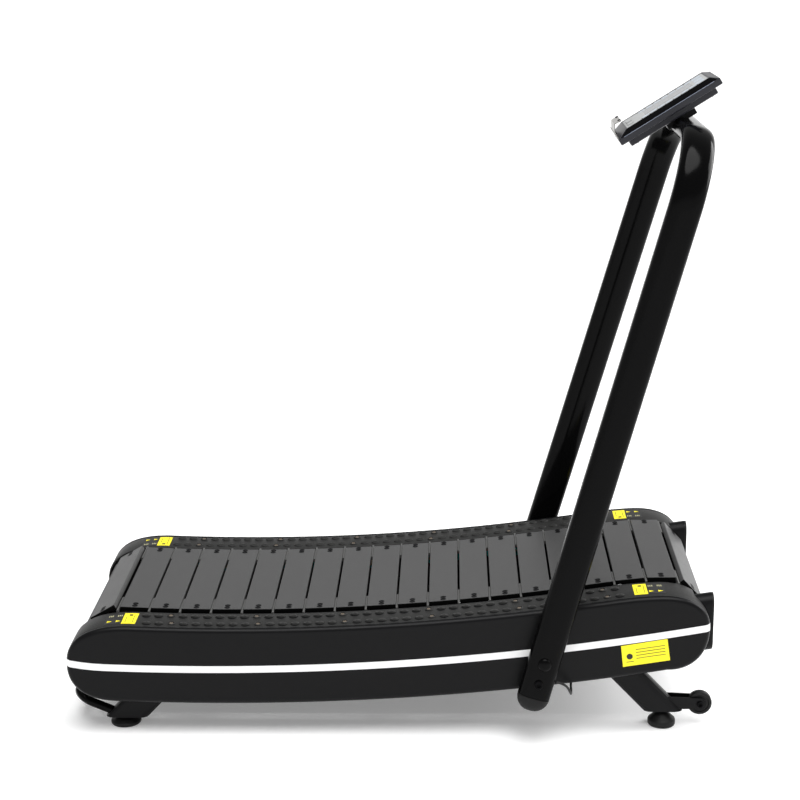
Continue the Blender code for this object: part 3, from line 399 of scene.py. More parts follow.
def swept_rings(route, section, wide):
    """Rings of a section swept along a route, with the section's width kept along `wide`."""
    rings = []
    for i, point in enumerate(route):
        before, after = route[max(i - 1, 0)], route[min(i + 1, len(route) - 1)]
        ahead = (after - before).normalized()
        through = ahead.cross(wide).normalized()
        rings.append([point + wide * x + through * y for x, y in section])
    return rings


def rounded_box(bm, size, matrix, bevel, segments=3, material_index=0):
    made = bmesh.ops.create_cube(bm, size=1.0)
    verts = made["verts"]
    bmesh.ops.scale(bm, vec=size, verts=verts)
    edges = list({edge for vert in verts for edge in vert.link_edges})
    cut = bmesh.ops.bevel(bm, geom=edges, offset=bevel, segments=segments, affect="EDGES", profile=0.5)
    faces = set(cut["faces"])
    verts = {vert for face in faces for vert in face.verts}
    faces |= {face for vert in verts for face in vert.link_faces}
    for face in faces:
        face.material_index = material_index
    bmesh.ops.transform(bm, matrix=matrix, verts=list(verts))


def cut_from(obj, rings):
    """Cuts a closed solid out of a piece, and keeps the result as its mesh."""
    bm = bmesh.new()
    solid(bm, rings)
    cutter = linked("cutter", as_mesh("cutter", bm))
    modifier = obj.modifiers.new("cut", "BOOLEAN")
    modifier.object = cutter
    modifier.solver = "EXACT"
    bpy.context.view_layer.update()
    result = bpy.data.meshes.new_from_object(obj.evaluated_get(bpy.context.evaluated_depsgraph_get()))
    obj.modifiers.remove(modifier)
    obj.data = result
    bpy.data.objects.remove(cutter, do_unlink=True)


# ---- the deck's curve


def concave_z(x):
    return DECK_LOW_Z + DECK_RADIUS - math.sqrt(DECK_RADIUS**2 - (x - DECK_LOW_X) ** 2)


CONCAVE_END_Z = concave_z(CONCAVE_END_X)
CREST_START_X = CREST_X - CREST_RADIUS * math.sin(RISE_ANGLE)
CREST_START_Z = CONCAVE_END_Z + (CREST_START_X - CONCAVE_END_X) * math.tan(RISE_ANGLE)
CREST_Z = CREST_START_Z + CREST_RADIUS * (1 - math.cos(RISE_ANGLE))
FRONT_PULLEY = (CREST_X, CREST_Z - WRAP_RADIUS)
DROP_ANGLE = math.asin((DECK_LOW_X - REAR_PULLEY_X) / (DECK_RADIUS + WRAP_RADIUS))
REAR_PULLEY = (
    REAR_PULLEY_X,
    DECK_LOW_Z + DECK_RADIUS * (1 - math.cos(DROP_ANGLE)) - WRAP_RADIUS * math.cos(DROP_ANGLE),
)


def frame_line_z(x):
    if x <= CONCAVE_END_X:
        return concave_z(x)
    return CONCAVE_END_Z + (x - CONCAVE_END_X) * math.tan(RISE_ANGLE)


def deck_z(x):
    if x <= CREST_START_X:
        return frame_line_z(x)
    return CREST_Z - CREST_RADIUS + math.sqrt(CREST_RADIUS**2 - (x - CREST_X) ** 2)


def belt_loop(inset):
    """The belt's closed path, this far inside the slats' outer face: (centre, radius, start angle, end angle,
    outward sign) arcs and one (start, end) straight."""
    front, rear = Vector(FRONT_PULLEY), Vector(REAR_PULLEY)
    half_span = (front - rear).length / 2
    along = (front - rear).normalized()
    up = Vector((-along.y, along.x))
    sag_centre = (front + rear) / 2 + up * math.sqrt((RETURN_RADIUS - WRAP_RADIUS) ** 2 - half_span**2)
    leave, meet = front - sag_centre, rear - sag_centre
    leave_angle = math.atan2(leave.y, leave.x)
    meet_angle = math.atan2(meet.y, meet.x)
    shift = Vector((math.sin(RISE_ANGLE), -math.cos(RISE_ANGLE))) * inset
    start = Vector((CONCAVE_END_X, CONCAVE_END_Z)) + shift
    end = Vector((CREST_START_X, CREST_START_Z)) + shift
    deck_centre = (DECK_LOW_X, DECK_LOW_Z + DECK_RADIUS)
    crest_centre = (CREST_X, CREST_Z - CREST_RADIUS)
    top = QUARTER_TURN
    return [
        (deck_centre, DECK_RADIUS + inset, -top - DROP_ANGLE, -top + RISE_ANGLE, -1),
        (start, end),
        (crest_centre, CREST_RADIUS - inset, top + RISE_ANGLE, top, 1),
        (FRONT_PULLEY, WRAP_RADIUS - inset, top, leave_angle, 1),
        (tuple(sag_centre), RETURN_RADIUS - inset, leave_angle, meet_angle, 1),
        (REAR_PULLEY, WRAP_RADIUS - inset, meet_angle, -3 * top - DROP_ANGLE, 1),
    ]


def piece_length(piece):
    if len(piece) == 2:
        return (piece[1] - piece[0]).length
    return abs(piece[3] - piece[2]) * piece[1]


def loop_length(loop):
    return sum(piece_length(piece) for piece in loop)


def at_length(loop, length):
    """(point, outward normal) on the loop at this distance along it."""
    length %= loop_length(loop)
    for piece in loop:
        here = piece_length(piece)
        if length <= here:
            break
        length -= here
    share = min(length / here, 1.0)
    if len(piece) == 2:
        return piece[0].lerp(piece[1], share), Vector((-math.sin(RISE_ANGLE), math.cos(RISE_ANGLE)))
    centre, radius, start, end, sign = piece
    a = start + (end - start) * share
    spoke = Vector((math.cos(a), math.sin(a)))
    return Vector(centre) + spoke * radius, spoke * sign


PITCH_LINE = belt_loop(SLAT_THICK)
PITCH = loop_length(PITCH_LINE) / SLAT_COUNT
SCREW_INSETS = (0.0100, 0.0240)  # from the slat's end
FIRST_GAP = SLAT_GAP_X - REAR_PULLEY_X - WRAP_RADIUS * math.sin(DROP_ANGLE)  # distance along the pitch line


def in_side_view(point, y):
    return Vector((point.x, y, point.y))


def slat_place(number):
    """(foot of the slat's middle, outward normal, direction along the belt), in the side view."""
    point, normal = at_length(PITCH_LINE, FIRST_GAP + number * PITCH)
    return point, normal, Vector((normal.y, -normal.x))


# ---- slats


def slats():
    """Rubber-faced slats with rounded edges, in one piece for the row, with a near-black painted shade on
    their end faces.
    """
    bm = bmesh.new()
    half, middle = (PITCH - SLAT_GAP) / 2, SLAT_THICK / 2
    edge, end = 0.0022, 0.0016
    section = [(-half, 0.0006), (-half + 0.0006, 0.0), (half - 0.0006, 0.0), (half, 0.0006)]
    section += arc((half - edge, SLAT_THICK - edge), edge, 0, QUARTER_TURN, 4)
    section += arc((-half + edge, SLAT_THICK - edge), edge, QUARTER_TURN, 2 * QUARTER_TURN, 4)
    for number in range(SLAT_COUNT):
        point, normal, along = slat_place(number + 0.5)
        rings = []
        for y, inset in (
            (-SLAT_HALF_LENGTH, end), (-SLAT_HALF_LENGTH + 0.0005, end * 0.4), (-SLAT_HALF_LENGTH + end, 0),
            (SLAT_HALF_LENGTH - end, 0), (SLAT_HALF_LENGTH - 0.0005, end * 0.4), (SLAT_HALF_LENGTH, end),
        ):
            narrow, low = 1 - inset / half, 1 - inset / middle
            ring = [(across * narrow, middle + (up - middle) * low) for across, up in section]
            rings.append([in_side_view(point + along * a + normal * b, y) for a, b in ring])
        solid(bm, rings)
    bm.normal_update()
    # Painted shade: faces turned to ±Y, the slats' end faces, take the near-black second material.
    for face in bm.faces:
        face.material_index = int(abs(face.normal.y) > 0.6)
    finishes = [FINISH["slat_rubber"], SLAT_END_SHADE]
    add_piece("slats", bm, "slat_rubber", finishes, replaces=["slat_belt"], flat_sides=True)


def slat_screws():
    """Two low black screws at each end of every slat."""
    bm = bmesh.new()
    profile = [(0.0, -0.0040), (0.0040, -0.0040), (0.0070, -0.0006), (0.0072, 0.0002), (0.0066, 0.0005),
               (0.0034, 0.0005), (0.0031, 0.0003), (0.0, 0.0003)]
    for number in range(SLAT_COUNT):
        point, normal, _ = slat_place(number + 0.5)
        top = point + normal * SLAT_THICK
        for inset in SCREW_INSETS:
            for side in (1, -1):
                place = in_side_view(top, side * (SLAT_HALF_LENGTH - inset))
                solid(bm, turned_rings(profile, place, (normal.x, 0, normal.y), 16))
    add_piece("slat_screws", bm, "steel", [BLACK_SCREW_AND_SHADE])


def belt_links():
    """Grey bridges across the gaps between the slats, near both ends."""
    bm = bmesh.new()
    half = SLAT_GAP / 2 - 0.0004
    high, edge = SLAT_THICK - 0.0030, 0.0006
    corners = [(-half, 0.0), (half, 0.0), (half, high - edge), (half - edge, high)]
    corners += [(edge - half, high), (-half, high - edge)]
    for number in range(SLAT_COUNT):
        point, normal, along = slat_place(number)
        for side in (1, -1):
            rings = []
            for y in (0.143, 0.2325):
                rings.append([in_side_view(point + along * a + normal * b, side * y) for a, b in corners])
            solid(bm, rings)
    add_piece("slat_links", bm, "slat_rubber", [LINK_GREY])


def plate_lips():
    """Upper lips of the roller rails, close under the slats' ends."""
    corners = ((0.2121, -0.0010), (0.2159, -0.0010), (0.2159, -0.0112), (0.2121, -0.0112))
    bm = bmesh.new()
    for side in (1, -1):
        rings = []
        for x in spaced(-0.640, 0.638, 40):
            rings.append([Vector((x, side * y, deck_z(x) - SLAT_THICK + drop)) for y, drop in corners])
        solid(bm, rings)
    add_piece("roller_rail_lips", bm, "frame_paint", smooth=20)


def carrier_belts():
    """Endless toothed belts under the slats' ends."""
    bm = bmesh.new()
    inner, outer = belt_loop(SLAT_THICK + BELT_THICK - 0.0002), belt_loop(SLAT_THICK + 0.0002)
    steps = SLAT_COUNT * 8
    for side in (1, -1):
        sections = []
        near, far = side * 0.150, side * 0.200
        for i in range(steps):
            a, normal = at_length(inner, i / steps * loop_length(inner))
            b = at_length(outer, i / steps * loop_length(outer))[0]
            a = a + normal * (0.0012 if i % 2 else 0.0)
            corners = ((a, near), (b, near), (b, far), (a, far))
            sections.append([bm.verts.new(in_side_view(*corner)) for corner in corners])
        for low, high in zip(sections, sections[1:] + sections[:1]):
            for i in range(4):
                j = (i + 1) % 4
                face = (low[i], low[j], high[j], high[i])
                bm.faces.new(face if side > 0 else tuple(reversed(face)))
    add_piece("carrier_belts", bm, "foot_rubber", smooth=20)


# ---- rollers

ROLLER_RADIUS = 0.0175  # smaller than in CAD, so the centres are 3.5 mm above the CAD rollers' axes
ROLLER_Y = (0.184, 0.206)
ROLLER_BORE = 0.005
CAD_ROLLER_XS = (-0.52, -0.18, 0.15, 0.47)
ROLLERS_BETWEEN = 5


def roller_centre(x):
    step = 0.001
    slope = math.atan((frame_line_z(x + step) - frame_line_z(x - step)) / (2 * step))
    depth = SLAT_THICK + BELT_THICK + ROLLER_RADIUS + 0.0012
    return x + depth * math.sin(slope), frame_line_z(x) - depth * math.cos(slope)


def roller(bm, x, side):
    """A urethane tyre with rounded edges on a pale hub."""
    cx, cz = roller_centre(x)
    half = (ROLLER_Y[1] - ROLLER_Y[0]) / 2
    place = (cx, side * sum(ROLLER_Y) / 2, cz)
    rim, hub = ROLLER_RADIUS, 0.0105
    edge = 0.002
    tyre = [(hub, -half + 0.001), (rim - 0.004, -half + 0.0004)]
    tyre = and_mirrored(tyre + arc((rim - edge, -half + edge), edge, -QUARTER_TURN, 0, 4))
    solid(bm, turned_rings(tyre, place, (0, side, 0), 28), 0)
    core = [(ROLLER_BORE, -half), (0.0085, -half), (0.0098, -half + 0.0014), (0.0102, half - 0.0014),
            (0.0085, half), (ROLLER_BORE, half)]
    solid(bm, turned_rings(core, place, (0, side, 0), 24), 1)


def rollers():
    """Rollers in place of the CAD's eight, and fixed ones between them to fill the row."""
    finishes = [FINISH["roller_urethane"], HUB_PALE]
    for label, side in SIDES:
        for number, x in enumerate(CAD_ROLLER_XS, 1):
            bm = bmesh.new()
            roller(bm, x, side)
            body = f"roller_{label}_{number}"
            name, node = f"roller_tyre_{label}_{number}", f"guide_{body}"
            add_piece(name, bm, "roller_urethane", finishes, body, [node])
        bm = bmesh.new()
        for first, last in zip(CAD_ROLLER_XS, CAD_ROLLER_XS[1:]):
            for i in range(1, ROLLERS_BETWEEN + 1):
                roller(bm, first + (last - first) * i / (ROLLERS_BETWEEN + 1), side)
        add_piece(f"more_rollers_{label}", bm, "roller_urethane", finishes)


# ---- covers and rails


def quarter(centre, end_x, end_z, power, start, end, count=18):
    """Points on a superellipse that reaches end_x and end_z, between two angles in quarter turns from +X."""
    half_width, half_height = abs(end_x - centre[0]), abs(end_z - centre[1])
    points = []
    for i in range(count):
        a = (start + (end - start) * i / (count - 1)) * QUARTER_TURN
        x, z = oval_point(half_width, half_height, power, a)
        points.append((centre[0] + x, centre[1] + z))
    return points


def skirt_z(x):
    return SKIRT_LOW_Z + SKIRT_RADIUS - math.sqrt(SKIRT_RADIUS**2 - (x - SKIRT_LOW_X) ** 2)


def side_outline(inset=0.0):
    """The covers' outline, moved in by the inset: rear end, top, nose, then back along the bottom edge."""
    rear_low, rear_top = (REAR_LOW_X, REAR_MID_Z), (REAR_TOP_X, REAR_MID_Z)
    nose_low, nose_top = (NOSE_LOW_X, NOSE_MID_Z), (NOSE_TOP_X, NOSE_MID_Z)
    lift = RAIL_RISE - inset
    points = quarter(rear_low, REAR_X + inset, skirt_z(REAR_LOW_X) + inset, REAR_POWER, 3, 2)
    points += quarter(rear_top, REAR_X + inset, deck_z(REAR_TOP_X) + lift, REAR_POWER, 2, 1)[1:]
    points += [(x, deck_z(x) + lift) for x in spaced(REAR_TOP_X, NOSE_TOP_X, 40)[1:-1]]
    points += quarter(nose_top, NOSE_X - inset, deck_z(NOSE_TOP_X) + lift, NOSE_POWER, 1, 0)
    points += quarter(nose_low, NOSE_X - inset, skirt_z(NOSE_LOW_X) + inset, NOSE_POWER, 0, -1)[1:]
    return points + [(x, skirt_z(x) + inset) for x in spaced(NOSE_LOW_X, REAR_LOW_X, 40)[1:-1]]


OUTLINE = side_outline()


def side_covers():
    inner = RAIL_OUTER_Y + 0.0003
    for label, side in SIDES:
        profile = [(0.0145, COVER_OUTER_Y - COVER_WALL), (0.0075, COVER_OUTER_Y - 0.0085), (0.0065, inner),
                   (0.0040, inner), (0.0035, inner + SEAM_WIDE), (0.0006, inner + SEAM_WIDE + 0.0003),
                   (0.0, inner + SEAM_WIDE + 0.0012)]
        rim = (COVER_ROUNDING, COVER_OUTER_Y - COVER_ROUNDING)
        profile += arc(rim, COVER_ROUNDING, math.pi, QUARTER_TURN, 9)
        rings = []
        for inset, y in profile:
            rings.append([Vector((x, side * y, z)) for x, z in side_outline(inset)])
        add_solid(
            f"cover_shell_{label}", rings, "cover_plastic", replaces=[f"side_cover_{label}"],
            flat_sides=True, smooth=40,
        )


def frame_section(x, side, grow=0.0, squared=False):
    """The frame tube's flat oval in an upright plane at x. The inner side can be squared off and widened."""
    radius = FRAME_WIDE / 2 + grow
    reach = (FRAME_HEIGHT - FRAME_WIDE) / 2 / math.cos(RISE_ANGLE)
    middle = frame_line_z(x) - FRAME_DEPTH
    points = [(FRAME_MID_Y + y, middle + reach + z) for y, z in arc((0, 0), radius, 0, math.pi, 13)]
    if squared:
        wide_y, top_z = FRAME_MID_Y - 0.05, points[6][1]
        points = points[:7] + [(wide_y, top_z), (wide_y, 2 * middle - top_z)]
        tail = arc((0, 0), radius, -QUARTER_TURN, 0, 7)
    else:
        tail = arc((0, 0), radius, -math.pi, 0, 13)
    points += [(FRAME_MID_Y + y, middle - reach + z) for y, z in tail]
    return [Vector((x, side * y, z)) for y, z in points]


def side_frames():
    for label, side in SIDES:
        rings = [frame_section(x, side) for x in spaced(FRAME_REAR_X, FRAME_FRONT_X, 30)]
        add_solid(f"frame_tube_{label}", rings, "frame_paint", replaces=[f"side_frame_{label}"])
        rings = []
        for x, grow in ((0.0003, -0.0004), (0.0035, -0.0004), (0.0046, -0.0012), (0.0050, -0.0028)):
            rings.append(frame_section(FRAME_FRONT_X + x, side, grow))
        node = f"frame_cap_front_{label}"
        add_solid(f"frame_plug_{label}", rings, "cap_plastic", replaces=[node], flat_sides=True)
        bm = bmesh.new()
        for z in LEG_BOLT_Z.values():
            x = leg_centre(z, side).x
            near, far = 0.288, abs(leg_centre(z, side).y) - TUBE_THICK / 2 - 0.0010
            profile = [(0.016, near), (0.016, far - 0.001), (0.015, far)]
            solid(bm, turned_rings(profile, (x, 0, z), (0, side, 0), 28))
        add_piece(f"leg_bosses_{label}", bm, "frame_paint")


RAIL_FIRST = 4
BUMP_PITCH = 0.0303
BUMP_ROWS = (0.2565, 0.3050)
BUMP_SPAN = (-0.600, 0.5805)
SCREW_EVERY = 7
STUD_HALF_LENGTH = 0.0110
STUD_HALF_WIDTH = 0.0095


def rail_end_index():
    return max(i for i, point in enumerate(OUTLINE) if point[0] > NOSE_LOW_X - 0.001) - 4


def top_place(x):
    """(height, outward normal) of the rail's top face at x, in the side view."""
    step = 0.0005
    heights = [outline_top(x + d) for d in (-step, step)]
    slope = (heights[1] - heights[0]) / (2 * step)
    normal = Vector((-slope, 0, 1)).normalized()
    return outline_top(x), normal


def outline_top(x):
    """Height of the rails' top face at x, with their rounded ends."""
    if x < REAR_TOP_X:
        return rounded_end((REAR_TOP_X - x) / (REAR_TOP_X - REAR_X), REAR_TOP_X, REAR_MID_Z, REAR_POWER)
    if x > NOSE_TOP_X:
        return rounded_end((x - NOSE_TOP_X) / (NOSE_X - NOSE_TOP_X), NOSE_TOP_X, NOSE_MID_Z, NOSE_POWER)
    return deck_z(x) + RAIL_RISE


def rounded_end(share, top_x, middle_z, power):
    rise = deck_z(top_x) + RAIL_RISE - middle_z
    return middle_z + rise * (1 - min(1.0, share) ** power) ** (1 / power)


def foot_rails():
    last = rail_end_index()
    outer, inner = OUTLINE[RAIL_FIRST:last], side_outline(RAIL_THICK)[RAIL_FIRST:last]
    edge = 0.0012
    for label, side in SIDES:
        rings = []
        for (x0, z0), (x1, z1) in zip(outer, inner):
            top, low = Vector((x0, 0, z0)), Vector((x1, 0, z1))
            down = (low - top).normalized() * edge
            across = Vector((0, side * edge, 0))
            near, far = Vector((0, side * RAIL_INNER_Y, 0)), Vector((0, side * RAIL_OUTER_Y, 0))
            rings.append([
                top + near + down, top + near + across + 0.3 * down, top + near + 2 * across,
                top + far - 2 * across, top + far - across + 0.3 * down, top + far + down,
                low + far, low + near,
            ])
        rail = add_solid(f"rail_strip_{label}", rings, "rail_plastic", replaces=[f"foot_rail_{label}"])
        cut_from(rail, [frame_section(x, side, 0.0015, squared=True) for x in (0.60, 0.70, 0.78, 0.85)])


def stud_rings(place, normal, side):
    """A raised half-moon: high and steep on its outer side, running out to nothing on its inner side."""
    ahead = Vector((normal.z, 0, -normal.x))
    out = Vector((0, side, 0))
    rings = []
    for grow, height in ((1.0, -0.0010), (0.99, 0.0012), (0.86, 0.0034), (0.55, 0.0040), (0.02, 0.0040)):
        ring = []
        for i in range(24):
            a = 2 * math.pi * i / 24
            along, across = STUD_HALF_LENGTH * math.cos(a), STUD_HALF_WIDTH * math.sin(a)
            if across < 0:
                across *= 1 - 0.35 * abs(math.cos(a))
            lean = 1 + 0.25 * across / STUD_HALF_WIDTH
            up = height * lean if height > 0 else height
            ring.append(place + ahead * along * grow + out * across * grow + normal * up)
        rings.append(ring)
    return rings


def rail_bumps():
    """Two rows of grip studs on each rail, with a screw in place of every seventh pair."""
    count = int((BUMP_SPAN[1] - BUMP_SPAN[0]) / BUMP_PITCH)
    screw = [(0.0050, -0.001), (0.0050, 0.0016), (0.0042, 0.0026), (0.0024, 0.0030), (0.0020, 0.0018),
             (0.0, 0.0018)]
    collar = [(0.0098, -0.001), (0.0096, 0.0020), (0.0084, 0.0034), (0.0072, 0.0034), (0.0064, 0.0008),
              (0.0, 0.0006)]
    for label, side in SIDES:
        bumps, shades, screws = bmesh.new(), bmesh.new(), bmesh.new()
        for i in range(count + 1):
            for row, y in enumerate(BUMP_ROWS):
                x = BUMP_SPAN[0] + i * BUMP_PITCH + (0.004 if row else -0.004)
                z, normal = top_place(x)
                place = Vector((x, side * y, z - 0.0002))
                if i % SCREW_EVERY == 2:
                    solid(bumps, turned_rings(collar, place, normal, 24))
                    solid(screws, turned_rings(screw, place, normal, 16))
                else:
                    solid(bumps, stud_rings(place, normal, side))
                    # Painted shade: a thin dark crescent film round the stud's outer side.
                    stud_shade_crescent(shades, place, normal, side)
        add_piece(f"grip_studs_{label}", bumps, "rail_plastic")
        # The painted shade crescents, in the screws' near-black.
        add_piece(f"stud_shade_crescents_{label}", shades, "rail_plastic", [BLACK_SCREW_AND_SHADE])
        add_piece(f"rail_screws_{label}", screws, "steel", [SCREW_TAN])


def stud_shade_crescent(bm, place, normal, side):
    """A painted shade crescent: a thin dark film laid round a stud's outer side, where the stud's shade
    falls.
    """
    ahead = Vector((normal.z, 0, -normal.x))
    rings = []
    steps = 12
    for i in range(steps + 1):
        a = math.radians(8) + math.radians(164) * i / steps
        wide = 0.0006 + 0.0052 * math.sin(a) ** 1.5
        ring = []
        for grow, height in ((0.0, -0.0006), (0.0, 0.0006), (1.0, 0.0006), (1.0, -0.0006)):
            along = (STUD_HALF_LENGTH + 0.0005) * math.cos(a)
            across = (STUD_HALF_WIDTH - 0.0015) * math.sin(a) + grow * wide
            ring.append(place + ahead * along + Vector((0, side * across, 0)) + normal * height)
        rings.append(ring)
    solid(bm, rings)


# ---- stripe and plain labels

FILM = 0.0004


def edge_distance(x, z):
    """Distance from a point of the side face to the cover's outline."""
    best = 1.0
    for (x0, z0), (x1, z1) in zip(OUTLINE, OUTLINE[1:] + OUTLINE[:1]):
        dx, dz = x1 - x0, z1 - z0
        share = max(0.0, min(1.0, ((x - x0) * dx + (z - z0) * dz) / (dx * dx + dz * dz)))
        best = min(best, math.hypot(x - x0 - share * dx, z - z0 - share * dz))
    return best


def face_y(x, z):
    """How far out the cover's face is, with its rounded rim."""
    short = max(0.0, COVER_ROUNDING - edge_distance(x, z))
    return COVER_OUTER_Y - COVER_ROUNDING + math.sqrt(COVER_ROUNDING**2 - short**2)


def stripe_middle(x):
    low_x, low_z, radius = -0.45, 0.1738, 6.75
    turn_up_x, turn_up = -0.70, 0.9
    rise = turn_up * max(0.0, turn_up_x - x) ** 2
    return low_z + radius - math.sqrt(radius**2 - (x - low_x) ** 2) + rise


def stripes():
    """The light stripe along each cover, with finer steps where it bends round the rims."""
    first, last, half = -0.7925, 0.7709, 0.0088
    rim, shares = 0.016, spaced(0, 1, 12)
    xs = [first + rim * share**2 for share in shares[:-1]]
    xs += spaced(first + rim, last - rim, 60)[:-1]
    xs += [last - rim * (1 - share) ** 2 for share in shares]
    for label, side in SIDES:
        rings = []
        for x in xs:
            ring = []
            for depth in (FILM, -FILM):
                row = []
                for up in (-half, -half / 3, half / 3, half):
                    z = stripe_middle(x) + up
                    row.append(Vector((x, side * (face_y(x, z) + depth), z)))
                ring += row if depth > 0 else list(reversed(row))
            rings.append(ring)
        add_solid(f"side_stripe_{label}", rings, "cover_plastic", materials=[WHITE_FILM])


def flat_patch(bm, corners, lift, material_index=0):
    """A thin patch over four corners, raised from them along its own normal."""
    a, b, c = corners[:3]
    normal = (b - a).cross(c - b).normalized()
    solid(bm, [[p + normal * h for p in corners] for h in (-lift, lift)], material_index)


def side_labels():
    """Plain yellow panels on the covers, with a few plain lines and a dot, and no words."""
    corners = ((0.5635, 0.1835), (0.6765, 0.2015), (0.6685, 0.2565), (0.5575, 0.2375))
    for label, side in SIDES:
        y = side * COVER_OUTER_Y
        place = [Vector((x, y, z)) for x, z in corners]
        bm = bmesh.new()
        flat_patch(bm, place, 0.0004)
        rows = [(0.30, 0.92, height) for height in (0.74, 0.60, 0.46, 0.32)]
        rows.append((0.08, 0.24, 0.20))
        across, up = place[1] - place[0], place[3] - place[0]
        for left, right, height in rows:
            start = place[0] + across * left + up * height
            end = place[0] + across * right + up * height
            thick = up.normalized() * 0.0007
            flat_patch(bm, [start - thick, end - thick, end + thick, start + thick], 0.0006, 1)
        spot = place[0] + across * 0.16 + up * 0.45
        solid(bm, turned_rings([(0.0075, -0.0006), (0.0075, 0.0006)], spot, (0, 1, 0), 24), 1)
        add_piece(f"side_panel_{label}", bm, "cover_plastic", [YELLOW_FILM, DARK_INK], smooth=20)


def top_patch(bm, first, last, near, far, side, lift, material_index=0, steps=6):
    """A thin patch that follows the top of the rail."""
    rings = []
    for x in spaced(first, last, steps):
        z, normal = top_place(x)
        base = Vector((x, 0, z))
        ring = []
        for height, ys in ((lift, (near, far)), (-0.0003, (far, near))):
            ring += [base + normal * height + Vector((0, side * y, 0)) for y in ys]
        rings.append(ring)
    solid(bm, rings, material_index)


def top_labels():
    """At each end of each rail: a plain yellow patch, and a dark one with small plain shapes."""
    for label, side in SIDES:
        bm = bmesh.new()
        for first, last, away in ((-0.658, -0.6235, -1), (0.590, 0.6225, 1)):
            top_patch(bm, first, last, 0.246, 0.313, side, 0.0005)
            middle = (first + last) / 2
            for x, low, high in ((middle - 0.009, 0.270, 0.304), (middle + 0.009, 0.256, 0.304)):
                top_patch(bm, x - 0.0006, x + 0.0006, low, high, side, 0.0007, 1)
            top_patch(bm, middle - 0.004, middle + 0.004, 0.254, 0.263, side, 0.0007, 1, steps=1)
            start = (last if away > 0 else first) + away * 0.0015
            top_patch(bm, *sorted((start, start + away * 0.041)), 0.247, 0.312, side, 0.0005, 1)
            for step_x, y in ((0.008, 0.262), (0.030, 0.262), (0.008, 0.296), (0.030, 0.296)):
                triangle = y > 0.28
                for i in range(5):
                    a = start + away * step_x + (i - 2.5) * 0.0022
                    half = 0.0052 * (1 - i / 5) if triangle else 0.0045
                    tone = 0 if triangle else 2
                    if triangle or i % 2 == 0:
                        top_patch(bm, a, a + 0.0019, y - half, y + half, side, 0.0008, tone, steps=1)
        inks = [YELLOW_FILM, DARK_INK, PALE_INK]
        add_piece(f"rail_patches_{label}", bm, "rail_plastic", inks, smooth=20)


# ---- handlebar


def leg_centre(z, side):
    rise = z - LEG_REF.z
    x = LEG_REF.x + math.tan(LEG_LEAN) * rise
    return Vector((x, side * (LEG_REF.y - LEG_TOE_IN * rise), z))


def handlebar_route():
    up = Vector((math.sin(LEG_LEAN), 0, math.cos(LEG_LEAN)))
    toe_in = math.atan(LEG_TOE_IN * math.cos(LEG_LEAN))
    foot, start = leg_centre(LEG_FOOT_Z, 1), leg_centre(LEG_BEND_Z, 1)
    route = [foot.lerp(start, i / 12) for i in range(13)]
    steps = 26
    for i in range(1, steps + 1):
        a = toe_in + (QUARTER_TURN - toe_in) * i / steps
        rise = BEND_RADIUS * (math.sin(a) - math.sin(toe_in))
        turn_in = BEND_RADIUS * (math.cos(toe_in) - math.cos(a))
        route.append(start + up * rise - Vector((0, turn_in, 0)))
    return route + [Vector((p.x, -p.y, p.z)) for p in reversed(route)]


def handlebar():
    section = superellipse(TUBE_WIDE / 2, TUBE_THICK / 2, OVAL_POWER, 56)
    rings = swept_rings(handlebar_route(), section, ACROSS_LEG)
    add_solid("handlebar_tube", rings, "gloss_tube", replaces=["handlebar"])
    for label, side in SIDES:
        down = (leg_centre(0.0, side) - leg_centre(1.0, side)).normalized()
        through = down.cross(ACROSS_LEG).normalized()
        place = leg_centre(LEG_FOOT_Z, side) + down * 0.0012
        rings = []
        for i in range(9):
            a = QUARTER_TURN * i / 8
            size = max(math.cos(a), 0.02) ** 0.9
            centre = place + down * TUBE_CAP * math.sin(a)
            rings.append([centre + ACROSS_LEG * x * size + through * y * size for x, y in section])
        node = f"handlebar_cap_{label}"
        add_solid(f"handlebar_plug_{label}", rings, "cap_plastic", replaces=[node])


def leg_bolts():
    for label, side in SIDES:
        for kind, z in LEG_BOLT_Z.items():
            centre = leg_centre(z, side)
            face = abs(centre.y) + TUBE_THICK / 2 + 0.0011
            if kind == "upper":
                profile = [(0.0163, -0.002), (0.0165, 0.0)]
                profile += [(0.0165 * math.cos(a), 0.0085 * math.sin(a)) for a in
                            (QUARTER_TURN * i / 10 for i in range(1, 11))]
                finish = FINISH["gloss_tube"]
            else:
                profile = [(0.0100, -0.002), (0.0105, 0.0), (0.0105, 0.0050), (0.0097, 0.0064),
                           (0.0062, 0.0065), (0.0058, 0.0060), (0.0054, 0.0022), (0.0, 0.0020)]
                finish = BLACK_SCREW_AND_SHADE
            rings = turned_rings(profile, (centre.x, side * face, z), (0, side, 0), 40)
            node = f"leg_bolt_{kind}_{label}"
            add_solid(f"bolt_head_{kind}_{label}", rings, "steel", materials=[finish], replaces=[node])


# ---- feet, wheels and the lift handle

FEET = {  # each one's place, pad profile, and the low and high ends of its stud and its nut
    "front": (
        0.669,
        [(0.0300, 0.0), (0.0328, 0.0008), (0.0340, 0.0030), (0.0340, 0.0125), (0.0330, 0.0150),
         (0.0312, 0.0166), (0.0150, 0.0322), (0.0130, 0.0333), (0.0060, 0.0338)],
        (0.0330, 0.0700), (0.0342, 0.0385),
    ),
    "rear": (
        -0.666,
        [(0.0340, 0.0), (0.0362, 0.0006), (0.0375, 0.0025), (0.0375, 0.0072), (0.0360, 0.0092),
         (0.0275, 0.0120), (0.0262, 0.0135), (0.0200, 0.0152), (0.0060, 0.0160)],
        (0.0150, 0.0500), (0.0162, 0.0195),
    ),
}
WHEEL_CENTRE = (0.7615, 0.0575)
WHEEL_RADIUS = 0.030
WHEEL_HALF_WIDTH = 0.009


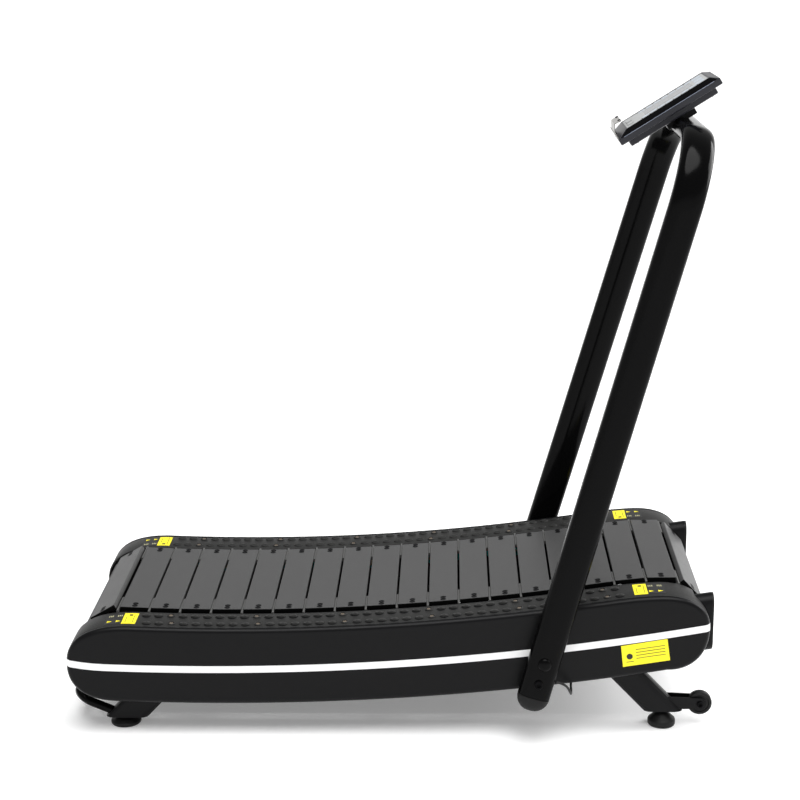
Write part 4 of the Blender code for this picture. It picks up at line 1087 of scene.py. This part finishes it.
def levelling_feet():
    up = (0, 0, 1)
    for label, side in SIDES:
        for end, (x, pad, (stud_low, stud_high), nut) in FEET.items():
            place = (x, side * FRAME_MID_Y, 0)
            body = f"foot_{end}_{label}"
            rings = turned_rings(pad, place, up, 56)
            node = f"levelling_{body}"
            add_solid(f"foot_pad_{end}_{label}", rings, "foot_rubber", body=body, replaces=[node])
            bm = bmesh.new()
            stud = [(0.0048, stud_low), (0.0048, stud_high - 0.001), (0.0038, stud_high)]
            solid(bm, turned_rings(stud, place, up, 20))
            solid(bm, turned_rings([(0.0085, along) for along in nut], place, up, 6))
            add_piece(f"foot_stud_{end}_{label}", bm, "steel", body=body)


def transport_wheels():
    half, rim = WHEEL_HALF_WIDTH, WHEEL_RADIUS
    for label, side in SIDES:
        place = (WHEEL_CENTRE[0], side * FRAME_MID_Y, WHEEL_CENTRE[1])
        edge = 0.0028
        profile = [(0.0043, -half), (0.0105, -half), (0.0125, -half + 0.0025), (rim - 0.0085, -half + 0.0025),
                   (rim - 0.0070, -half)]
        profile = and_mirrored(profile + arc((rim - edge, -half + edge), edge, -QUARTER_TURN, 0, 6))
        rings = turned_rings(profile, place, (0, side, 0), 64)
        body, node = f"wheel_{label}", f"transport_wheel_{label}"
        add_solid(f"wheel_tyre_{label}", rings, "foot_rubber", body=body, replaces=[node])
        reach = half + 0.0015 + 0.004 + 0.0003
        bolt = [(0.0060, -reach - 0.0055), (0.0072, -reach - 0.004), (0.0072, -reach), (0.0039, -reach),
                (0.0039, reach), (0.0085, reach), (0.0085, reach + 0.0038), (0.0074, reach + 0.0056),
                (0.0042, reach + 0.0060), (0.0038, reach + 0.0020), (0.0, reach + 0.0020)]
        rings = turned_rings(bolt, place, (0, side, 0), 32)
        node = f"wheel_bolt_{label}"
        add_solid(f"axle_bolt_{label}", rings, "steel", materials=[BLACK_SCREW_AND_SHADE], replaces=[node])


def lift_handle():
    reach, bend = FRAME_MID_Y, 0.045
    start, corner = Vector((-0.6930, 0, 0.0291)), Vector((-0.7880, 0, 0.0697))
    along = (corner - start).normalized()
    route = [start + Vector((0, reach, 0)), start + along * 0.03 + Vector((0, reach, 0))]
    for a in spaced(0, QUARTER_TURN, 16):
        turn = along * bend * (math.sin(a) - 1) + Vector((0, reach - bend + bend * math.cos(a), 0))
        route.append(corner + turn)
    route += [Vector((p.x, -p.y, p.z)) for p in reversed(route)]
    level = along.cross(Vector((0, 1, 0))).normalized()
    rings = swept_rings(route, superellipse(0.011, 0.011, 2, 28), level)
    add_solid("lift_bar", rings, "gloss_tube", replaces=["lift_handle"])


# ---- console

CASE_LENGTH, CASE_WIDTH = 0.2755, 0.172
CASE_RIDGE, CASE_TOP = 0.0080, 0.0185
FACE_WIDTH = 0.129
FACE_U = 0.0063
FACE_W = 0.0178


def console_place(u, v, w):
    """A place on the console: u along it, v across it, w out of its face."""
    tilted = Matrix.Translation(CONSOLE_CENTRE) @ Matrix.Rotation(-CONSOLE_TILT, 4, "Y")
    return tilted @ Matrix.Translation((u, v, w))


def add_bezel_trim():
    """Black ribs along both long slopes of the bezel, and a painted highlight line on the ridge below them.
    """
    ribs, ridge_highlights = bmesh.new(), bmesh.new()
    low_v, low_w = CASE_WIDTH / 2 - 0.0015, CASE_RIDGE
    high_v, high_w = FACE_WIDTH / 2 + 0.004, CASE_TOP
    slope = math.atan2(high_w - low_w, low_v - high_v)
    count = 6
    for side in (1, -1):
        for i in range(count):
            share = (i + 0.5) / count
            v, w = low_v + (high_v - low_v) * share, low_w + (high_w - low_w) * share
            turn = Matrix.Rotation(-side * slope, 4, "X")
            size = (CASE_LENGTH - 0.012 - 0.040 * share, 0.0027, 0.0012)
            rounded_box(ribs, size, console_place(0.0013 + 0.005 * share, side * v, w) @ turn, 0.0004, 2)
        size = (CASE_LENGTH - 0.030, 0.0010, 0.0010)
        # Painted highlight: a thin pale box along each ridge of the console's case.
        rounded_box(ridge_highlights, size, console_place(0.0013, side * (CASE_WIDTH / 2 - 0.0004), 0.0072), 0.0004, 2)
    add_piece("bezel_ribs", ribs, "console_plastic", [BEZEL_BLACK], flat_sides=True)
    add_piece("bezel_ridge_highlight", ridge_highlights, "console_plastic", [RIDGE_HIGHLIGHT], flat_sides=True)


def face_box(bm, length, width, u, v):
    """A thin printed panel on the console's face, placed from the face's middle."""
    rounded_box(bm, (length, width, 0.0008), console_place(FACE_U + u, v, FACE_W), 0.0002, 1)


def console_details():
    """The face's printed cells, window and dots, the bezel's trim, the tray's pads, the housing's screws."""
    bm = bmesh.new()
    for i in range(7):
        for v in (-0.047, 0.047):
            face_box(bm, 0.0170, 0.016, i * 0.0215 - 0.058, v)
    for v in (-0.040, 0.0, 0.040):
        face_box(bm, 0.022, 0.030, 0.0915, v)
    add_piece("face_cells", bm, "console_face", [CELL_PALE], smooth=20)
    bm = bmesh.new()
    face_box(bm, 0.130, 0.064, 0.008, 0)
    add_piece("face_window", bm, "console_face", [CELL_GREY], smooth=20)
    bm = bmesh.new()
    for i in range(8):
        for v in (-0.0595, 0.0595):
            place = console_place(FACE_U - 0.069 + i * 0.0215, v, FACE_W)
            profile = [(0.0016, 0.0), (0.0016, 0.0006), (0.0010, 0.0008)]
            solid(bm, turned_rings(profile, place.translation, place.col[2].xyz, 12))
    add_piece("face_dots", bm, "console_face", [DARK_INK])
    add_bezel_trim()
    bm = bmesh.new()
    for v in (-0.032, 0.032):
        rounded_box(bm, (0.0075, 0.016, 0.0052), console_place(-0.1105, v, 0.0392), 0.0012, 2)
        rounded_box(bm, (0.0050, 0.016, 0.0085), console_place(-0.1330, v, 0.0190), 0.0012, 2)
    add_piece("tray_pads", bm, "foot_rubber")
    bm = bmesh.new()
    profile = [(0.0042, -0.0010), (0.0042, 0.0004), (0.0034, 0.0013), (0.0016, 0.0016), (0.0014, 0.0006),
               (0.0, 0.0006)]
    for u in (-0.100, 0.105):
        for v in (-0.056, 0.056):
            place = console_place(u, v, -0.0253)
            solid(bm, turned_rings(profile, place.translation, -place.col[2].xyz, 20))
    add_piece("housing_screws", bm, "steel", [BLACK_SCREW_AND_SHADE])


# ---- cable

CABLE_RADIUS = 0.003
CABLE_ROUTE = (
    (0.4015, -0.3715, 0.156), (0.412, -0.3715, 0.154), (0.424, -0.371, 0.147), (0.432, -0.368, 0.136),
    (0.436, -0.361, 0.125), (0.438, -0.351, 0.118), (0.439, -0.339, 0.115), (0.440, -0.327, 0.117),
    (0.440, -0.316, 0.123), (0.441, -0.307, 0.133), (0.441, -0.301, 0.145), (0.442, -0.2985, 0.158),
    (0.442, -0.2975, 0.171),
)


def smooth_route(points, steps=3):
    """A Catmull-Rom curve through the points."""
    knots = [Vector(p) for p in points]
    knots = [2 * knots[0] - knots[1], *knots, 2 * knots[-1] - knots[-2]]
    out = []
    for a, b, c, d in zip(knots, knots[1:], knots[2:], knots[3:]):
        for i in range(steps):
            t = i / steps
            bend = 2 * a - 5 * b + 4 * c - d
            out.append(0.5 * (2 * b + (c - a) * t + bend * t**2 + (3 * b - a - 3 * c + d) * t**3))
    return out + [knots[-2]]


def sensor_cable():
    """Short loop from the right leg of the handlebar, under the cover's edge, up to the frame."""
    curve = bpy.data.curves.new("sensor_lead", "CURVE")
    curve.dimensions = "3D"
    curve.bevel_depth = CABLE_RADIUS
    curve.bevel_resolution = 4
    curve.use_fill_caps = True
    route = smooth_route(CABLE_ROUTE)
    spline = curve.splines.new("POLY")
    spline.points.add(len(route) - 1)
    for point, place in zip(spline.points, route):
        point.co = (*place, 1.0)
    curve.materials.append(FINISH["cable"])
    lead = linked("sensor_lead", curve)
    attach(lead, "root")
    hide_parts("sensor_cable")


# ---- the whole scene


def build():
    make_camera()
    sensor_cable()
    make_studio()
    dress_cad_nodes()
    slats()
    slat_screws()
    belt_links()
    plate_lips()
    carrier_belts()
    rollers()
    side_covers()
    side_frames()
    foot_rails()
    rail_bumps()
    stripes()
    side_labels()
    top_labels()
    handlebar()
    leg_bolts()
    levelling_feet()
    transport_wheels()
    lift_handle()
    console_details()


build()
